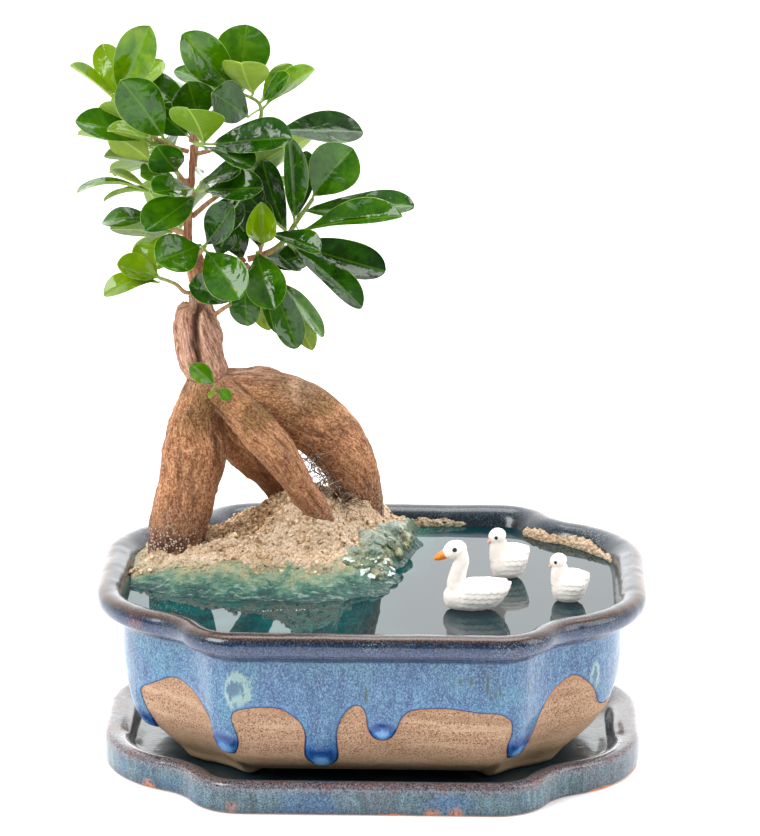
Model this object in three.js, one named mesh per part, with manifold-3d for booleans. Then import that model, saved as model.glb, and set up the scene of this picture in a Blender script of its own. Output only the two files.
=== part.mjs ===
// Bonsai fig on thick exposed roots, in a scalloped glazed pot that stands in its drip tray.
// The roots rise from a sand bank, beside a pool of clear resin with three moulded swans on it.
// Millimetres, +Z up. The origin is the middle of the tray's underside, and +X runs along the pot.
import * as THREE from "three";
import { mergeVertices } from "three/addons/utils/BufferGeometryUtils.js";
import Module from "manifold-3d";

const wasm = await Module();
wasm.setup();

// ---- driving dimensions ----

const gap = 0.35; // clearance between pieces that rest on or in each other
const rim = { halfX: 120, halfY: 97.5, top: 83 }; // the pot's widest outline
const corner = { front: 26, hollow: 25, end: 50, turn: 65, back: 40 }; // scalloped corner: radii, degrees
const tray = { halfX: 119, halfY: 90, top: 14.5, floor: 5.6, baseInset: 2.5 };
const footTop = 9.6; // underside of the pot between its feet
const footZ = tray.floor + gap; // underside of the feet
const soilTop = 61;
const waterTop = 76;
const bladeThickness = 0.7;
const fullness = 1.12; // blades are cut this much fuller than the width given for each leaf
const stalkRadius = 0.6;

// The pot's outer and inner walls, from the bottom up: [inset from the rim's outline, height].
const potOutside = [[41, footTop], [31, 13.5], [22, 22], [15, 33], [11.5, 47], [10.6, 73]];
const potRim = [[2.5, 74.6], [0, 78.2], [1.6, 82.2], [4.6, rim.top], [8.8, 82], [12, 76]];
const potInside = [[16, 68], [18, 47], [23, 31], [40, 15], [52, 14]];
const trayOutside = [[tray.baseInset, 0], [0.4, 5], [0, 12], [2, tray.top]];
const trayInside = [[9.5, 12.6], [12.5, 9], [17, tray.floor]];

// ---- helpers ----

const radians = THREE.MathUtils.degToRad;
const mix = THREE.MathUtils.lerp;

// A closed solid from vertices and triangles, turned the right way out.
function closed(points, triangles) {
  const geometry = new THREE.BufferGeometry();
  geometry.setAttribute("position", new THREE.Float32BufferAttribute(points.flat(), 3));
  geometry.setIndex(triangles.flat());
  const merged = mergeVertices(geometry, 1e-3);
  const position = merged.attributes.position.array;
  const index = new Uint32Array(merged.index.array);
  let volume = 0;
  for (let i = 0; i < index.length; i += 3) {
    const [a, b, c] = [0, 1, 2].map((k) => new THREE.Vector3().fromArray(position, 3 * index[i + k]));
    volume += a.dot(b.cross(c));
  }
  if (volume < 0) {
    for (let i = 0; i < index.length; i += 3) [index[i + 1], index[i + 2]] = [index[i + 2], index[i + 1]];
  }
  return new wasm.Manifold(new wasm.Mesh({ numProp: 3, vertProperties: position, triVerts: index }));
}

// Joins rings of equal length into one closed skin. Each cap is a fan round the ring's middle,
// or a strip across the ring where it is thin.
function loft(rings, { strip = false } = {}) {
  const count = rings[0].length;
  const points = rings.flat();
  const triangles = [];
  for (let i = 0; i < rings.length - 1; i += 1) {
    const low = i * count;
    const high = low + count;
    for (let k = 0; k < count; k += 1) {
      const next = (k + 1) % count;
      triangles.push([low + k, low + next, high + next], [low + k, high + next, high + k]);
    }
  }
  for (const [start, flip] of [[0, true], [(rings.length - 1) * count, false]]) {
    const cap = [];
    if (strip) {
      for (let k = 0; k < count / 2 - 1; k += 1) {
        const far = count - 1 - k;
        cap.push([start + k, start + k + 1, start + far - 1], [start + k, start + far - 1, start + far]);
      }
    } else {
      const ring = points.slice(start, start + count);
      const middle = [0, 1, 2].map((axis) => ring.reduce((sum, p) => sum + p[axis], 0) / count);
      points.push(middle);
      const hub = points.length - 1;
      for (let k = 0; k < count; k += 1) cap.push([start + k, start + ((k + 1) % count), hub]);
    }
    triangles.push(...(flip ? cap.map(([a, b, c]) => [a, c, b]) : cap));
  }
  return closed(points, triangles);
}

// A limb of round section through [x, y, z, radius] points. The rings turn with the path.
function limb(path, sides, knobs = 0) {
  const points = path.map((p) => new THREE.Vector3(p[0], p[1], p[2]));
  const along = points.map((p, i) => {
    const before = points[Math.max(i - 1, 0)];
    const after = points[Math.min(i + 1, points.length - 1)];
    return after.clone().sub(before).normalize();
  });
  let side = new THREE.Vector3(0, 1, 0).cross(along[0]);
  if (side.length() < 0.3) side = new THREE.Vector3(1, 0, 0).cross(along[0]);
  side.normalize();
  const rings = points.map((p, i) => {
    side.addScaledVector(along[i], -side.dot(along[i])).normalize();
    const other = along[i].clone().cross(side);
    return Array.from({ length: sides }, (_, k) => {
      const angle = (2 * Math.PI * k) / sides;
      const radius = path[i][3] * (1 + knobs * Math.sin(2.3 * k + 1.7 * i));
      const q = p.clone().addScaledVector(side, radius * Math.cos(angle));
      return q.addScaledVector(other, radius * Math.sin(angle)).toArray();
    });
  });
  return loft(rings);
}

// A limb made larger by an amount all round, for the plain hole that its lower end stands in.
function widened(path, amount) {
  const wide = path.map(([x, y, z, radius]) => [x, y, z, radius + amount]);
  const [before, end] = wide.slice(-2);
  const length = Math.hypot(end[0] - before[0], end[1] - before[1], end[2] - before[2]);
  const onward = [0, 1, 2].map((axis) => end[axis] + ((end[axis] - before[axis]) * amount) / length);
  return [...wide.slice(0, -1), [...onward, end[3]]];
}

// Fuses solids that grow out of each other, and fills any pocket that this seals.
function joined(solids) {
  const fused = solids.reduce((sum, solid) => sum.add(solid));
  const bodies = fused.decompose().filter((body) => body.volume() > 0);
  return bodies.length === 1 ? bodies[0] : fused;
}

// ---- the scalloped outline of pot and tray ----

// One quadrant runs from the middle of the front to the middle of the +X end: a straight, a round,
// a hollow and a wider round, then a straight. The inset moves every point square to the outline.
function outline(halfX, halfY, inset, scale = 1) {
  const rounds = [
    [corner.front * scale, 0, corner.turn, 3],
    [-corner.hollow * scale, corner.turn, corner.turn - corner.back, 2],
    [corner.end * scale, corner.turn - corner.back, 90, 4],
  ];
  const walk = [];
  let x = 0;
  let y = 0;
  for (const [radius, from, to, steps] of rounds) {
    for (let i = 0; i <= steps; i += 1) {
      const heading = radians(mix(from, to, i / steps));
      const start = radians(from);
      const px = x + radius * (Math.sin(heading) - Math.sin(start));
      const py = y + radius * (Math.cos(start) - Math.cos(heading));
      if (i > 0 || walk.length === 0) walk.push([px, py, heading]);
      if (i === steps) [x, y] = [px, py];
    }
  }
  const quadrant = walk.map(([px, py, heading]) => [
    halfX - x + px - inset * Math.sin(heading),
    -halfY + py + inset * Math.cos(heading),
  ]);
  const mirrored = quadrant.map(([px, py]) => [px, -py]).reverse();
  const right = quadrant.concat(mirrored);
  const left = right.map(([px, py]) => [-px, py]).reverse();
  return right.concat(left);
}

// Deep insets shrink the corner's radii too, so that the hollow never folds over itself.
const squareInset = 14;
const cornerShrink = 110;

function ringAt(halfX, halfY, inset, z) {
  const square = Math.min(inset, squareInset);
  const shrink = inset - square;
  const scale = 1 - shrink / cornerShrink;
  return outline(halfX - shrink, halfY - shrink, square, scale).map(([x, y]) => [x, y, z]);
}

const rings = (halfX, halfY, profile) => profile.map(([inset, z]) => ringAt(halfX, halfY, inset, z));

// The inset of a wall's profile at a height, held past the profile's ends.
function insetAt(profile, z) {
  const rising = [...profile].sort((a, b) => a[1] - b[1]);
  const above = rising.findIndex(([, height]) => height >= z);
  if (above < 1) return above < 0 ? rising.at(-1)[0] : rising[0][0];
  const [[insetA, zA], [insetB, zB]] = [rising[above - 1], rising[above]];
  return mix(insetA, insetB, (z - zA) / (zB - zA));
}

// Everything inside the pot between two heights, a gap clear of its wall.
function filling(low, high) {
  const walls = [potRim.at(-1), ...potInside];
  const between = walls.map(([, z]) => z).filter((z) => z > low + 0.4 && z < high - 0.4);
  const levels = [high, ...between, low];
  return loft(levels.map((z) => ringAt(rim.halfX, rim.halfY, insetAt(walls, z) + gap, z)));
}

// ---- pot and tray ----

// Glaze that ran down the wall and set in a bulb: where along the front wall, the height of its
// middle, half its width and half its height. The last two are on the end walls, near the front.
const drips = [
  { x: -59, z: 35, wide: 5.5, high: 13.5 },
  { x: -19.4, z: 29, wide: 7, high: 17.5 },
  { x: 6.3, z: 41, wide: 6.5, high: 12 },
  { x: 65.5, z: 35, wide: 5.5, high: 13.5 },
  { end: -1, z: 34, wide: 4.5, high: 11 },
  { end: 1, z: 45, wide: 4.5, high: 11 },
];
const endDripY = -22;
const dripRelief = 2.2;
const dripDepth = 0.2; // how far a drip's middle line lies inside the wall
const dripSides = 6;

// The front wall's y at a place along it, where the wall has an inset.
function frontWall(x, inset) {
  const ring = ringAt(rim.halfX, rim.halfY, inset, 0);
  const sides = ring.map((p, i) => [p, ring[(i + 1) % ring.length]]);
  const [a, b] = sides.find(([p, q]) => p[1] < 0 && p[0] <= x && q[0] > x);
  return mix(a[1], b[1], (x - a[0]) / (b[0] - a[0]));
}

function glazeDrip({ x, end, z, wide, high }) {
  const levels = [-1, -0.7, -0.1, 0.6, 1];
  return loft(levels.map((t) => {
    const height = z + high * t;
    const inset = insetAt(potOutside, height);
    const swell = Math.sqrt(Math.max(0.05, 1 - t * t));
    return Array.from({ length: dripSides }, (_, k) => {
      const angle = (2 * Math.PI * k) / dripSides;
      const side = wide * swell * Math.cos(angle);
      const out = dripRelief * swell * Math.sin(angle) - dripDepth;
      if (end) return [end * (rim.halfX - inset + out), endDripY + end * side, height];
      return [x + side, frontWall(x + side, inset) - out, height];
    });
  }));
}

// One of the four short feet: an oval stub under a corner, turned to follow the wall there.
const foot = { x: 57, y: 43, halfLong: 14, halfShort: 7.5, turn: 28, sides: 8 };

function potFoot(signX, signY) {
  const levels = [[0.86, footZ], [1, footTop - 0.4], [1, footTop + 2.4]];
  const turn = radians(foot.turn) * signX * -signY;
  const ring = ([scale, z]) => Array.from({ length: foot.sides }, (_, k) => {
    const angle = (2 * Math.PI * k) / foot.sides;
    const long = foot.halfLong * scale * Math.cos(angle);
    const short = foot.halfShort * scale * Math.sin(angle);
    const x = signX * foot.x + long * Math.cos(turn) + short * Math.sin(turn);
    return [x, signY * foot.y - long * Math.sin(turn) + short * Math.cos(turn), z];
  });
  return loft(levels.map(ring));
}

function makePot() {
  const shell = loft(rings(rim.halfX, rim.halfY, [...potOutside, ...potRim, ...potInside]));
  const feet = [[-1, -1], [1, -1], [-1, 1], [1, 1]].map(([x, y]) => potFoot(x, y));
  return joined([shell, ...feet, ...drips.map(glazeDrip)]);
}

const makeTray = () => loft(rings(tray.halfX, tray.halfY, [...trayOutside, ...trayInside]));

// ---- roots and trunk, one grown piece ----

const woody = {
  stump: [
    [-80.6, 35, 193, 7.6], [-80.2, 35, 186, 8.8], [-78.6, 35, 174, 10.2], [-75.6, 35, 163, 9],
    [-74.6, 34.5, 154, 9.6], [-76, 33, 147, 8],
  ],
  leftRoot: [
    [-75, 34, 160, 8], [-79, 32, 147, 10.2], [-80.6, 30, 137.5, 12.6], [-80.8, 28, 128.6, 14.6],
    [-83.6, 25, 115.5, 13.8], [-86.4, 22, 102.3, 13.4], [-88.4, 20, 91, 12.8], [-89, 19, 76, 11.6],
    [-89, 19, 56, 10], [-88, 20, 42, 6.5],
  ],
  frontRoot: [
    [-71, 33, 156, 7.4], [-63, 25, 151, 7.6], [-56, 19.5, 146, 8.3], [-49, 16, 138.5, 8.8],
    [-41.5, 15, 129.5, 8.4], [-33.5, 15.5, 116.5, 7], [-26.5, 17, 106, 5.6], [-21.5, 19.5, 97.5, 4.6],
    [-18.5, 22, 87, 3.9], [-17, 23, 72, 3.4], [-16.5, 23, 56, 2.6],
  ],
  archRoot: [
    [-73, 35.5, 155, 8], [-62, 38, 155.5, 9.4], [-50, 42, 152.5, 10.4], [-38, 46, 147.5, 11],
    [-27, 49, 140.5, 11.2], [-18, 52, 131.5, 11], [-12, 54, 120.5, 10.4], [-8.4, 56, 109, 9.7],
    [-6.6, 58, 98, 9.4], [-6, 59, 82, 9], [-6, 59.5, 62, 8], [-7, 59, 46, 5.6],
  ],
  backRoot: [
    [-72, 38, 146, 8], [-67, 43.5, 134, 8.4], [-60, 51, 122, 8], [-52, 60, 110, 7.2],
    [-44, 66.5, 98, 6.4], [-40, 69, 84, 5.6], [-38, 69, 64, 4.6], [-37.5, 68, 50, 3],
  ],
};
const stem = [
  [-79, 35, 188, 5.4], [-77.4, 35, 196, 4.3], [-79.6, 35, 205, 3.6], [-82.6, 35, 217, 2.6],
  [-83.4, 35, 229, 1.9], [-82.4, 35, 241, 1.8], [-81.3, 35, 252, 1.6], [-81, 35, 261, 1.4], [-81, 35, 267, 1.3],
];
const roughStrand = [[-76, 34.5, 192, 3], [-77, 35, 201, 2.6], [-77.5, 35.5, 211, 2.5], [-79.6, 35.5, 220, 1.6]];
const rightBranch = [[-82, 35.5, 208.5, 1.9], [-74, 37, 211, 1.9], [-66, 40, 212.5, 1.7], [-58, 42, 213, 1.6]];

const rootPaths = Object.values(woody);
const rootSides = 9;
const knobby = 0.035;

function makeTrunk() {
  const roots = rootPaths.map((path) => limb(path, rootSides, knobby));
  const shaft = [limb(stem, 7, 0.04), limb(roughStrand, 5, 0.1), limb(rightBranch, 6)];
  return joined([...roots, ...shaft]);
}

// The space that the roots need in soil, sand and resin.
const rootRoom = () => joined(rootPaths.map((path) => limb(widened(path, gap + 0.1), rootSides, knobby)));

// ---- leaves ----

// Each leaf: where its blade starts and ends, its width, the way its upper face looks, how far its
// blade arches back from base to tip, and how far its halves fold up along the midrib (degrees).
const shoots = {
  shoot_top_left: {
    twigs: [[[-82.7, 33.8, 264, 1.1], [-90, 31, 267, 1.1], [-97, 29.5, 271, 1], [-104, 28, 278, 0.9], [-111, 27, 286, 0.8]]],
    leaves: [
      [[-112, 27, 287], [-133, 20, 305], 13, [6, -1.5, 8], 10, 20],
      [[-113, 30, 289], [-120, 38, 311], 13, [-3, -10, 3], 10, 10],
      [[-112, 26, 290], [-98, 20, 323], 18, [-2, -10, 2], 12, 25],
      [[-111, 32, 288], [-94, 46, 302], 10, [0, -6, 8], 10, 10],
      [[-93, 26, 272], [-110, 10, 301], 19, [2, -10, 3], 15, 12],
      [[-99, 34, 268], [-132, 30, 278], 15, [0, -6, 9], 10, 15],
      [[-100, 28, 274], [-122, 36, 283], 12, [-2, 7, 8], 15, 10],
      [[-99, 24, 272], [-117, 18, 277], 11, [1, -3, 10], 25, 25],
      [[-98, 30, 260], [-117, 30, 273], 13, [-5, 9, 5], 10, 10],
      [[-86, 31, 266], [-99, 26, 268], 13, [0, -1.5, 10], 5, 10],
    ],
  },
  shoot_top: {
    twigs: [[[-81, 35, 268.1, 1.3], [-81, 35, 270, 1.3], [-79, 34.5, 275, 1], [-76.5, 34, 280, 0.8]]],
    leaves: [
      [[-77, 33, 278], [-82, 27, 297], 18, [0, -10, 3], 10, 15],
      [[-75, 24, 270], [-80, 2, 290], 22, [1, 7, 7], 10, 8],
      [[-83, 38, 270], [-96, 44, 280], 14, [2, -9, 4], 10, 10],
      [[-81, 37, 279], [-106, 44.5, 296], 15, [2, -7, 7], 10, 15],
      [[-72, 31, 268], [-36, 14, 275], 18, [0, -7, 7], 15, 20],
      [[-76, 27, 268], [-53, 12, 262], 15, [1, -2.5, 9.7], 15, 15],
    ],
  },
  shoot_top_right: {
    twigs: [[
      [-80, 37, 262, 1.1], [-74, 40, 263, 1.1], [-67, 42, 265, 1.1], [-56, 42, 271, 1], [-51, 41, 278, 0.9],
      [-52, 40, 285, 0.8], [-59, 39, 289, 0.7],
    ]],
    leaves: [
      [[-62, 38, 290], [-84, 28, 318], 18, [-1, -10, 3.5], 12, 20],
      [[-60, 41, 290], [-57, 44, 319], 22, [0, -10, 3], 10, 12],
      [[-54, 34, 290], [-58, 15, 308], 19, [1, 7, 7], 10, 8],
      [[-68, 36, 290], [-89, 40, 299], 12, [3, -3.5, 9], 10, 15],
      [[-56, 33, 280], [-71, 18, 294], 17, [1, -9, 5], 10, 10],
      [[-51, 46, 285], [-38, 56, 299], 10, [0, -5, 8], 10, 10],
      [[-50, 42, 282], [-27, 36, 301], 13, [-4, -5, 8], 25, 20],
      [[-50, 38, 286], [-38, 28, 300], 9, [-3, -7, 7], 10, 10],
      [[-45, 46, 271], [-6, 52, 269], 18, [0.5, -6, 8], 12, 15],
    ],
  },
  shoot_right: {
    twigs: [[
      [-57.2, 42.2, 213.2, 1.5], [-52, 43, 214.5, 1.4], [-45, 42.5, 218, 1.3], [-40, 42, 223, 1.2],
      [-36, 40, 230, 1.1], [-28, 38, 242, 0.9],
    ], [
      [-52, 43, 214.5, 1], [-51, 38, 219, 0.8], [-50, 35, 222, 0.6],
    ]],
    leaves: [
      [[-28, 38, 243], [-10, 34, 266], 21, [-1, -10, 2.5], 10, 12],
      [[-36, 36, 232], [-38, 24, 273], 16, [3, -9, 2], 12, 50],
      [[-35, 44, 232], [-31, 50, 261], 12, [0, -10, 1], 10, 15],
      [[-40, 48, 224], [-51, 54, 256], 13, [-3, -8, 5], 10, 15],
      [[-32, 40, 236], [17, 30, 241], 17, [0, -5.5, 8.5], 12, 15],
      [[-34, 36, 228], [12, 16, 240], 17, [0, -6, 8], 10, 40],
      [[-38, 46, 220], [4, 46, 207], 17, [1, -7.5, 6.5], 12, 12],
      [[-38, 40, 220], [-6, 28, 195], 15, [4.5, -6, 6.5], 10, 15],
      [[-46, 34, 227], [-24, 22, 222], 13, [2, -6, 7.5], 10, 30],
      [[-50, 47, 213], [-34, 56, 208], 15, [0, -5, 8], 10, 10],
      [[-50, 36, 221], [-50, 26, 243], 17, [1, -10, 1], 8, 45],
      [[-53, 37, 218], [-44, 18, 197], 17, [-1, -9, 4], 12, 15],
    ],
  },
  shoot_low: {
    twigs: [[[-58.2, 42.8, 210.8, 1.1], [-55, 44, 207.5, 1.1], [-50, 44.5, 205, 1], [-44, 47, 203, 0.8]]],
    leaves: [
      [[-48, 40, 205], [-35, 36, 174], 13, [2, -9, 3], 10, 20],
      [[-51, 45, 203], [-39, 48, 177], 12, [1, -10, 1], 10, 10],
      [[-43, 46, 202], [-24, 52, 175], 12, [9, -4, 3], 10, 15],
      [[-42, 51, 199], [-29, 58, 167], 10, [0, 10, 2], 10, 10],
      [[-55, 47, 205], [-48, 52, 178], 12, [0, 9, 3], 10, 10],
      [[-59, 40, 208], [-57, 36, 184], 13, [-1, -9.5, 2], 10, 10],
    ],
  },
  shoot_front: {
    twigs: [[[-80.7, 32.4, 218, 1], [-78, 29, 219, 1], [-75.5, 27, 222, 0.8]]],
    leaves: [
      [[-75, 27, 221], [-59, 8, 204], 18, [0, -8.5, 5], 12, 12],
      [[-75, 28, 223], [-62, 20, 243], 15, [-2, -8, 6], 12, 15],
      [[-77, 25, 224], [-95, 6, 221], 18, [-3, -9, 2.5], 15, 12],
      [[-70, 31, 217], [-65, 32, 231], 10, [0, -10, 2], 10, 10],
    ],
  },
  shoot_low_right: {
    twigs: [[[-71.4, 33, 190, 1.1], [-68, 31, 193, 1], [-64, 29, 196, 0.9]]],
    leaves: [[[-64, 29, 197], [-82, 20, 207], 14, [0, -7, 7], 10, 15]],
  },
  shoot_left_high: {
    twigs: [[[-82.9, 33.3, 251, 1.1], [-87, 32, 251, 1.1], [-93, 32, 249, 1], [-99, 32, 247, 0.9]]],
    leaves: [
      [[-87, 29, 256], [-95, 14, 271], 15, [-2, -9, 4], 12, 12],
      [[-88, 31, 252], [-103, 22, 256], 14, [0, -3.5, 9.5], 10, 10],
      [[-100, 34, 247], [-118, 40, 253], 14, [2, 5, 8.5], 15, 10],
      [[-100, 32, 246], [-131, 22, 248], 14, [0, 1.6, 10], 55, 10],
      [[-99, 36, 245], [-121, 44, 239], 11, [0, 1, 10], 45, 20],
    ],
  },
  shoot_left: {
    twigs: [[[-82, 32.4, 243, 1], [-81, 29.5, 245, 1], [-79, 27, 248, 0.8]]],
    leaves: [
      [[-79, 26, 246], [-100, 8, 234], 18, [-3, -8, 5.5], 15, 12],
      [[-80, 26, 249], [-96, 6, 252], 15, [-1, -7, 7], 15, 12],
      [[-77, 27, 252], [-59, 20, 259], 13, [1, -5, 8.5], 10, 10],
      [[-76, 27, 248], [-49, 16, 252], 15, [0, -6, 8], 15, 15],
    ],
  },
  shoot_left_low: {
    twigs: [[[-83, 34.2, 199.5, 1], [-85.4, 33.5, 200.5, 1], [-89, 33, 204, 0.9], [-96, 32, 207, 0.8]]],
    leaves: [
      [[-96, 32, 207], [-114, 26, 215], 12, [0, -8, 6], 20, 20],
      [[-97, 34, 208], [-106, 40, 220], 10, [2, -10, 1], 15, 10],
      [[-96, 31, 205], [-120, 26, 200], 11, [0, -5, 9], 70, 10],
    ],
  },
  shoot_left_back: {
    twigs: [[[-85, 37, 226, 1], [-89, 38, 227, 1], [-95, 39, 230, 0.8]]],
    leaves: [
      [[-96, 39, 232], [-122, 44, 229], 13, [0, -3, 9.5], 30, 10],
      [[-88, 41, 225], [-101, 46, 209], 12, [-4, -8, 3], 10, 10],
      [[-87, 41, 228], [-90, 49, 241], 10, [0, -10, 2], 10, 10],
    ],
  },
};

// Where along a twig a leaf's stalk springs from: the nearest point of its middle line.
function nearestOn(twigs, point) {
  let best = null;
  for (const twig of twigs) {
    const points = twig.map(([x, y, z]) => new THREE.Vector3(x, y, z));
    for (let i = 1; i < points.length; i += 1) {
      const line = new THREE.Line3(points[i - 1], points[i]);
      const found = line.closestPointToPoint(point, true, new THREE.Vector3());
      if (!best || found.distanceTo(point) < best.distanceTo(point)) best = found;
    }
  }
  return best;
}

// The blade's stations from neck to tip: [share of the length, share of the half width].
const bladeStations = [[0, 0], [0.3, 0.66], [0.62, 1], [0.86, 0.78], [1, 0.26]];

function makeLeaf(twigs, [from, to, width, face, curl, fold]) {
  const base = new THREE.Vector3(...from);
  const along = new THREE.Vector3(...to).sub(base);
  const length = along.length();
  along.normalize();
  const up = new THREE.Vector3(...face);
  up.addScaledVector(along, -up.dot(along)).normalize();
  const across = along.clone().cross(up);
  const rise = (length / 2) * Math.tan(radians(curl) / 4);
  const half = radians(fold);
  const section = (middle, normal, halfWidth, lift, thick) => {
    const edge = (side, top) => middle.clone().addScaledVector(across, side * halfWidth)
      .addScaledVector(normal, lift + top * thick).toArray();
    const spine = (top) => middle.clone().addScaledVector(normal, top * thick).toArray();
    return [edge(-1, 1), spine(1), edge(1, 1), edge(1, -1), spine(-1), edge(-1, -1)];
  };
  const sections = bladeStations.map(([t, share]) => {
    const middle = base.clone().addScaledVector(along, t * length);
    middle.addScaledVector(up, 4 * rise * t * (1 - t));
    const slope = Math.atan((4 * rise * (1 - 2 * t)) / length);
    const normal = up.clone().multiplyScalar(Math.cos(slope)).addScaledVector(along, -Math.sin(slope));
    const halfWidth = Math.max(stalkRadius, (share * fullness * width * Math.cos(half)) / 2);
    const thick = t === 0 ? stalkRadius : bladeThickness / 2 / Math.cos(half);
    return section(middle, normal, halfWidth, halfWidth * Math.tan(half) * (t === 0 ? 0 : 1), thick);
  });
  const root = nearestOn(twigs, base);
  return loft([section(root, up, stalkRadius, 0, stalkRadius), ...sections], { strip: true });
}

function makeShoot({ twigs, leaves }) {
  return joined([...twigs.map((twig) => limb(twig, 5)), ...leaves.map((row) => makeLeaf(twigs, row))]);
}

// Shoots at the back follow a rule: leaves spiral round each twig and lean towards its tip.
const backShoots = {
  shoot_back_left: { seed: 11, from: [-82.9, 37.5, 246.5], heading: 129, lift: 19, length: 34, leaves: 6 },
  shoot_back_right: { seed: 23, from: [-81.1, 37.1, 234], heading: 53, lift: 10, length: 44, leaves: 7 },
  shoot_back_top: { seed: 37, from: [-80.3, 37.6, 256.5], heading: 80, lift: 50, length: 34, leaves: 6 },
  shoot_back_low: { seed: 51, from: [-82.7, 38, 222], heading: 112, lift: -3, length: 30, leaves: 5 },
};

function draws(seed) {
  let state = seed;
  return () => {
    state = (state * 16807) % 2147483647;
    return state / 2147483647;
  };
}

function growBackShoot({ seed, from, heading, lift, length, leaves }) {
  const draw = draws(seed);
  const [h, l] = [radians(heading), radians(lift)];
  const along = new THREE.Vector3(Math.cos(h) * Math.cos(l), Math.sin(h) * Math.cos(l), Math.sin(l));
  const side = new THREE.Vector3(-Math.sin(h), Math.cos(h), 0);
  const up = along.clone().cross(side);
  const start = new THREE.Vector3(...from);
  const arch = 3;
  const at = (t) => {
    const point = start.clone().addScaledVector(along, length * t);
    return point.addScaledVector(up, arch * Math.sin(Math.PI * t));
  };
  const twig = [0, 0.25, 0.5, 0.75, 1].map((t) => [...at(t).toArray(), mix(1.3, 0.7, t)]);
  const rows = Array.from({ length: leaves }, (_, i) => {
    const t = mix(0.35, 1, i / (leaves - 1));
    const spin = radians(137.5 * i + 40 * draw());
    const out = side.clone().multiplyScalar(Math.cos(spin)).addScaledVector(up, Math.sin(spin));
    const lean = radians(mix(62, 22, t) + 8 * draw());
    const way = along.clone().multiplyScalar(Math.cos(lean)).addScaledVector(out, Math.sin(lean));
    const neck = at(t).addScaledVector(way, 3.5);
    const blade = mix(26, 34, draw());
    const face = along.clone().multiplyScalar(0.8).addScaledVector(out, -0.4);
    face.z += 0.8;
    const tip = neck.clone().addScaledVector(way, blade);
    const width = blade * mix(0.46, 0.56, draw());
    return [neck.toArray(), tip.toArray(), width, face.toArray(), mix(8, 22, draw()), mix(8, 20, draw())];
  });
  return { twigs: [twig], leaves: rows };
}

// Young growth straight out of the bark at the fork of the roots.
const sprout = {
  twigs: [[[-70.2, 21.6, 158, 0.9], [-70.5, 20.2, 158.6, 0.9], [-71, 18.6, 159.6, 0.7]]],
  leaves: [
    [[-71, 18.4, 160], [-81, 14, 169], 9.5, [-3, -9, 5], 12, 12],
    [[-69.4, 19, 158], [-64, 17, 153.6], 5, [2, -8, 5], 15, 15],
    [[-70.8, 18.6, 158], [-73, 16.5, 154.5], 2.4, [0, -8, 4], 10, 10],
  ],
};

// ---- soil, sand bank and resin ----

// The bank's foot at the water, run anticlockwise from above: the shore first, then well outside the pot.
const shore = [
  [-118, 8], [-104, 1], [-90, 3], [-76, 0], [-60, -3], [-44, 0], [-30, -3], [-18, 2], [-9, 12], [-5, 24],
  [2, 38], [8, 52], [10, 66], [14, 80],
];
const bankBack = [[14, 100], [-20, 104], [-60, 104], [-100, 100], [-126, 80], [-130, 50], [-128, 24]];
const bankMiddle = [-50, 40];

// Resin that surged over the foot of the bank and set: its reach over the water and the height
// of its crest at each point of the shore.
const surge = [
  [12, 4], [16, 5], [20, 8], [24, 10], [26, 11], [27, 11], [27, 11], [27, 11], [24, 12], [17, 14], [13, 15],
  [12, 12], [9, 8],
];
const surgeLow = waterTop + gap;
const surgeBack = 0.9; // height of the surge where it leans on the bank, as a share of its crest

const bankLow = 81; // the bank's height where it meets the pot's wall

// Heaps on the bank: [x, y, height, spread].
const heaps = [
  [-28, 26, 19, 19], [-20, 12, 6, 12], [-88, 16, 6, 22], [-46, 20, 7, 14], [-60, 34, 7, 24],
  [-6, 58, 13, 17], [-44, 64, 12, 18], [-62, 4, 5, 12], [-100, 34, 2, 14],
];

function bankHeight(x, y) {
  const ripple = 0.9 * Math.sin(0.31 * x + 0.5) * Math.sin(0.37 * y);
  return heaps.reduce((sum, [middleX, middleY, height, spread]) => {
    const away = Math.hypot(x - middleX, y - middleY) / spread;
    return sum + height * Math.exp(-(away ** 2) / 2);
  }, bankLow + ripple);
}

// The bank's plan, grown outwards for the hole that it fills in the resin.
function bankPlan(grow) {
  const points = [...shore, ...bankBack].map(([x, y]) => new THREE.Vector2(x, y));
  return points.map((p, i) => {
    const before = points[(i + points.length - 1) % points.length];
    const after = points[(i + 1) % points.length];
    const away = after.clone().sub(before).normalize();
    return [p.x + grow * away.y, p.y - grow * away.x];
  });
}

function bankSolid(low, grow, height) {
  const plan = bankPlan(grow);
  const shares = [1, 0.86, 0.7, 0.52, 0.28];
  const ring = (share, z) => plan.map(([x, y], i) => {
    const px = mix(bankMiddle[0], x, share);
    const py = mix(bankMiddle[1], y, share);
    return [px, py, z ?? height(px, py, share, i)];
  });
  return loft([ring(0.4, low), ring(1, low), ...shares.map((share) => ring(share, null))]);
}

const soilLow = potInside.at(-1)[1] + 1.2;
const bankRoof = 112; // above the bank's and the splash's highest points

const makeSoil = () => filling(soilLow, soilTop).subtract(rootRoom());

// At the shore the sand comes down to the surge that leans on it.
function makeBank() {
  const bank = bankSolid(soilTop + gap, 0, (x, y, share, i) => {
    const atShore = share === 1 && i < surge.length;
    return atShore ? surgeLow + surgeBack * surge[i][1] : bankHeight(x, y);
  });
  const inside = filling(soilTop + gap, bankRoof);
  return bank.intersect(inside).subtract(rootRoom());
}

function makeWater() {
  const pool = filling(soilTop + gap, waterTop);
  return pool.subtract(bankSolid(soilTop - 2, gap + 0.1, () => waterTop + 5));
}

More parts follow.
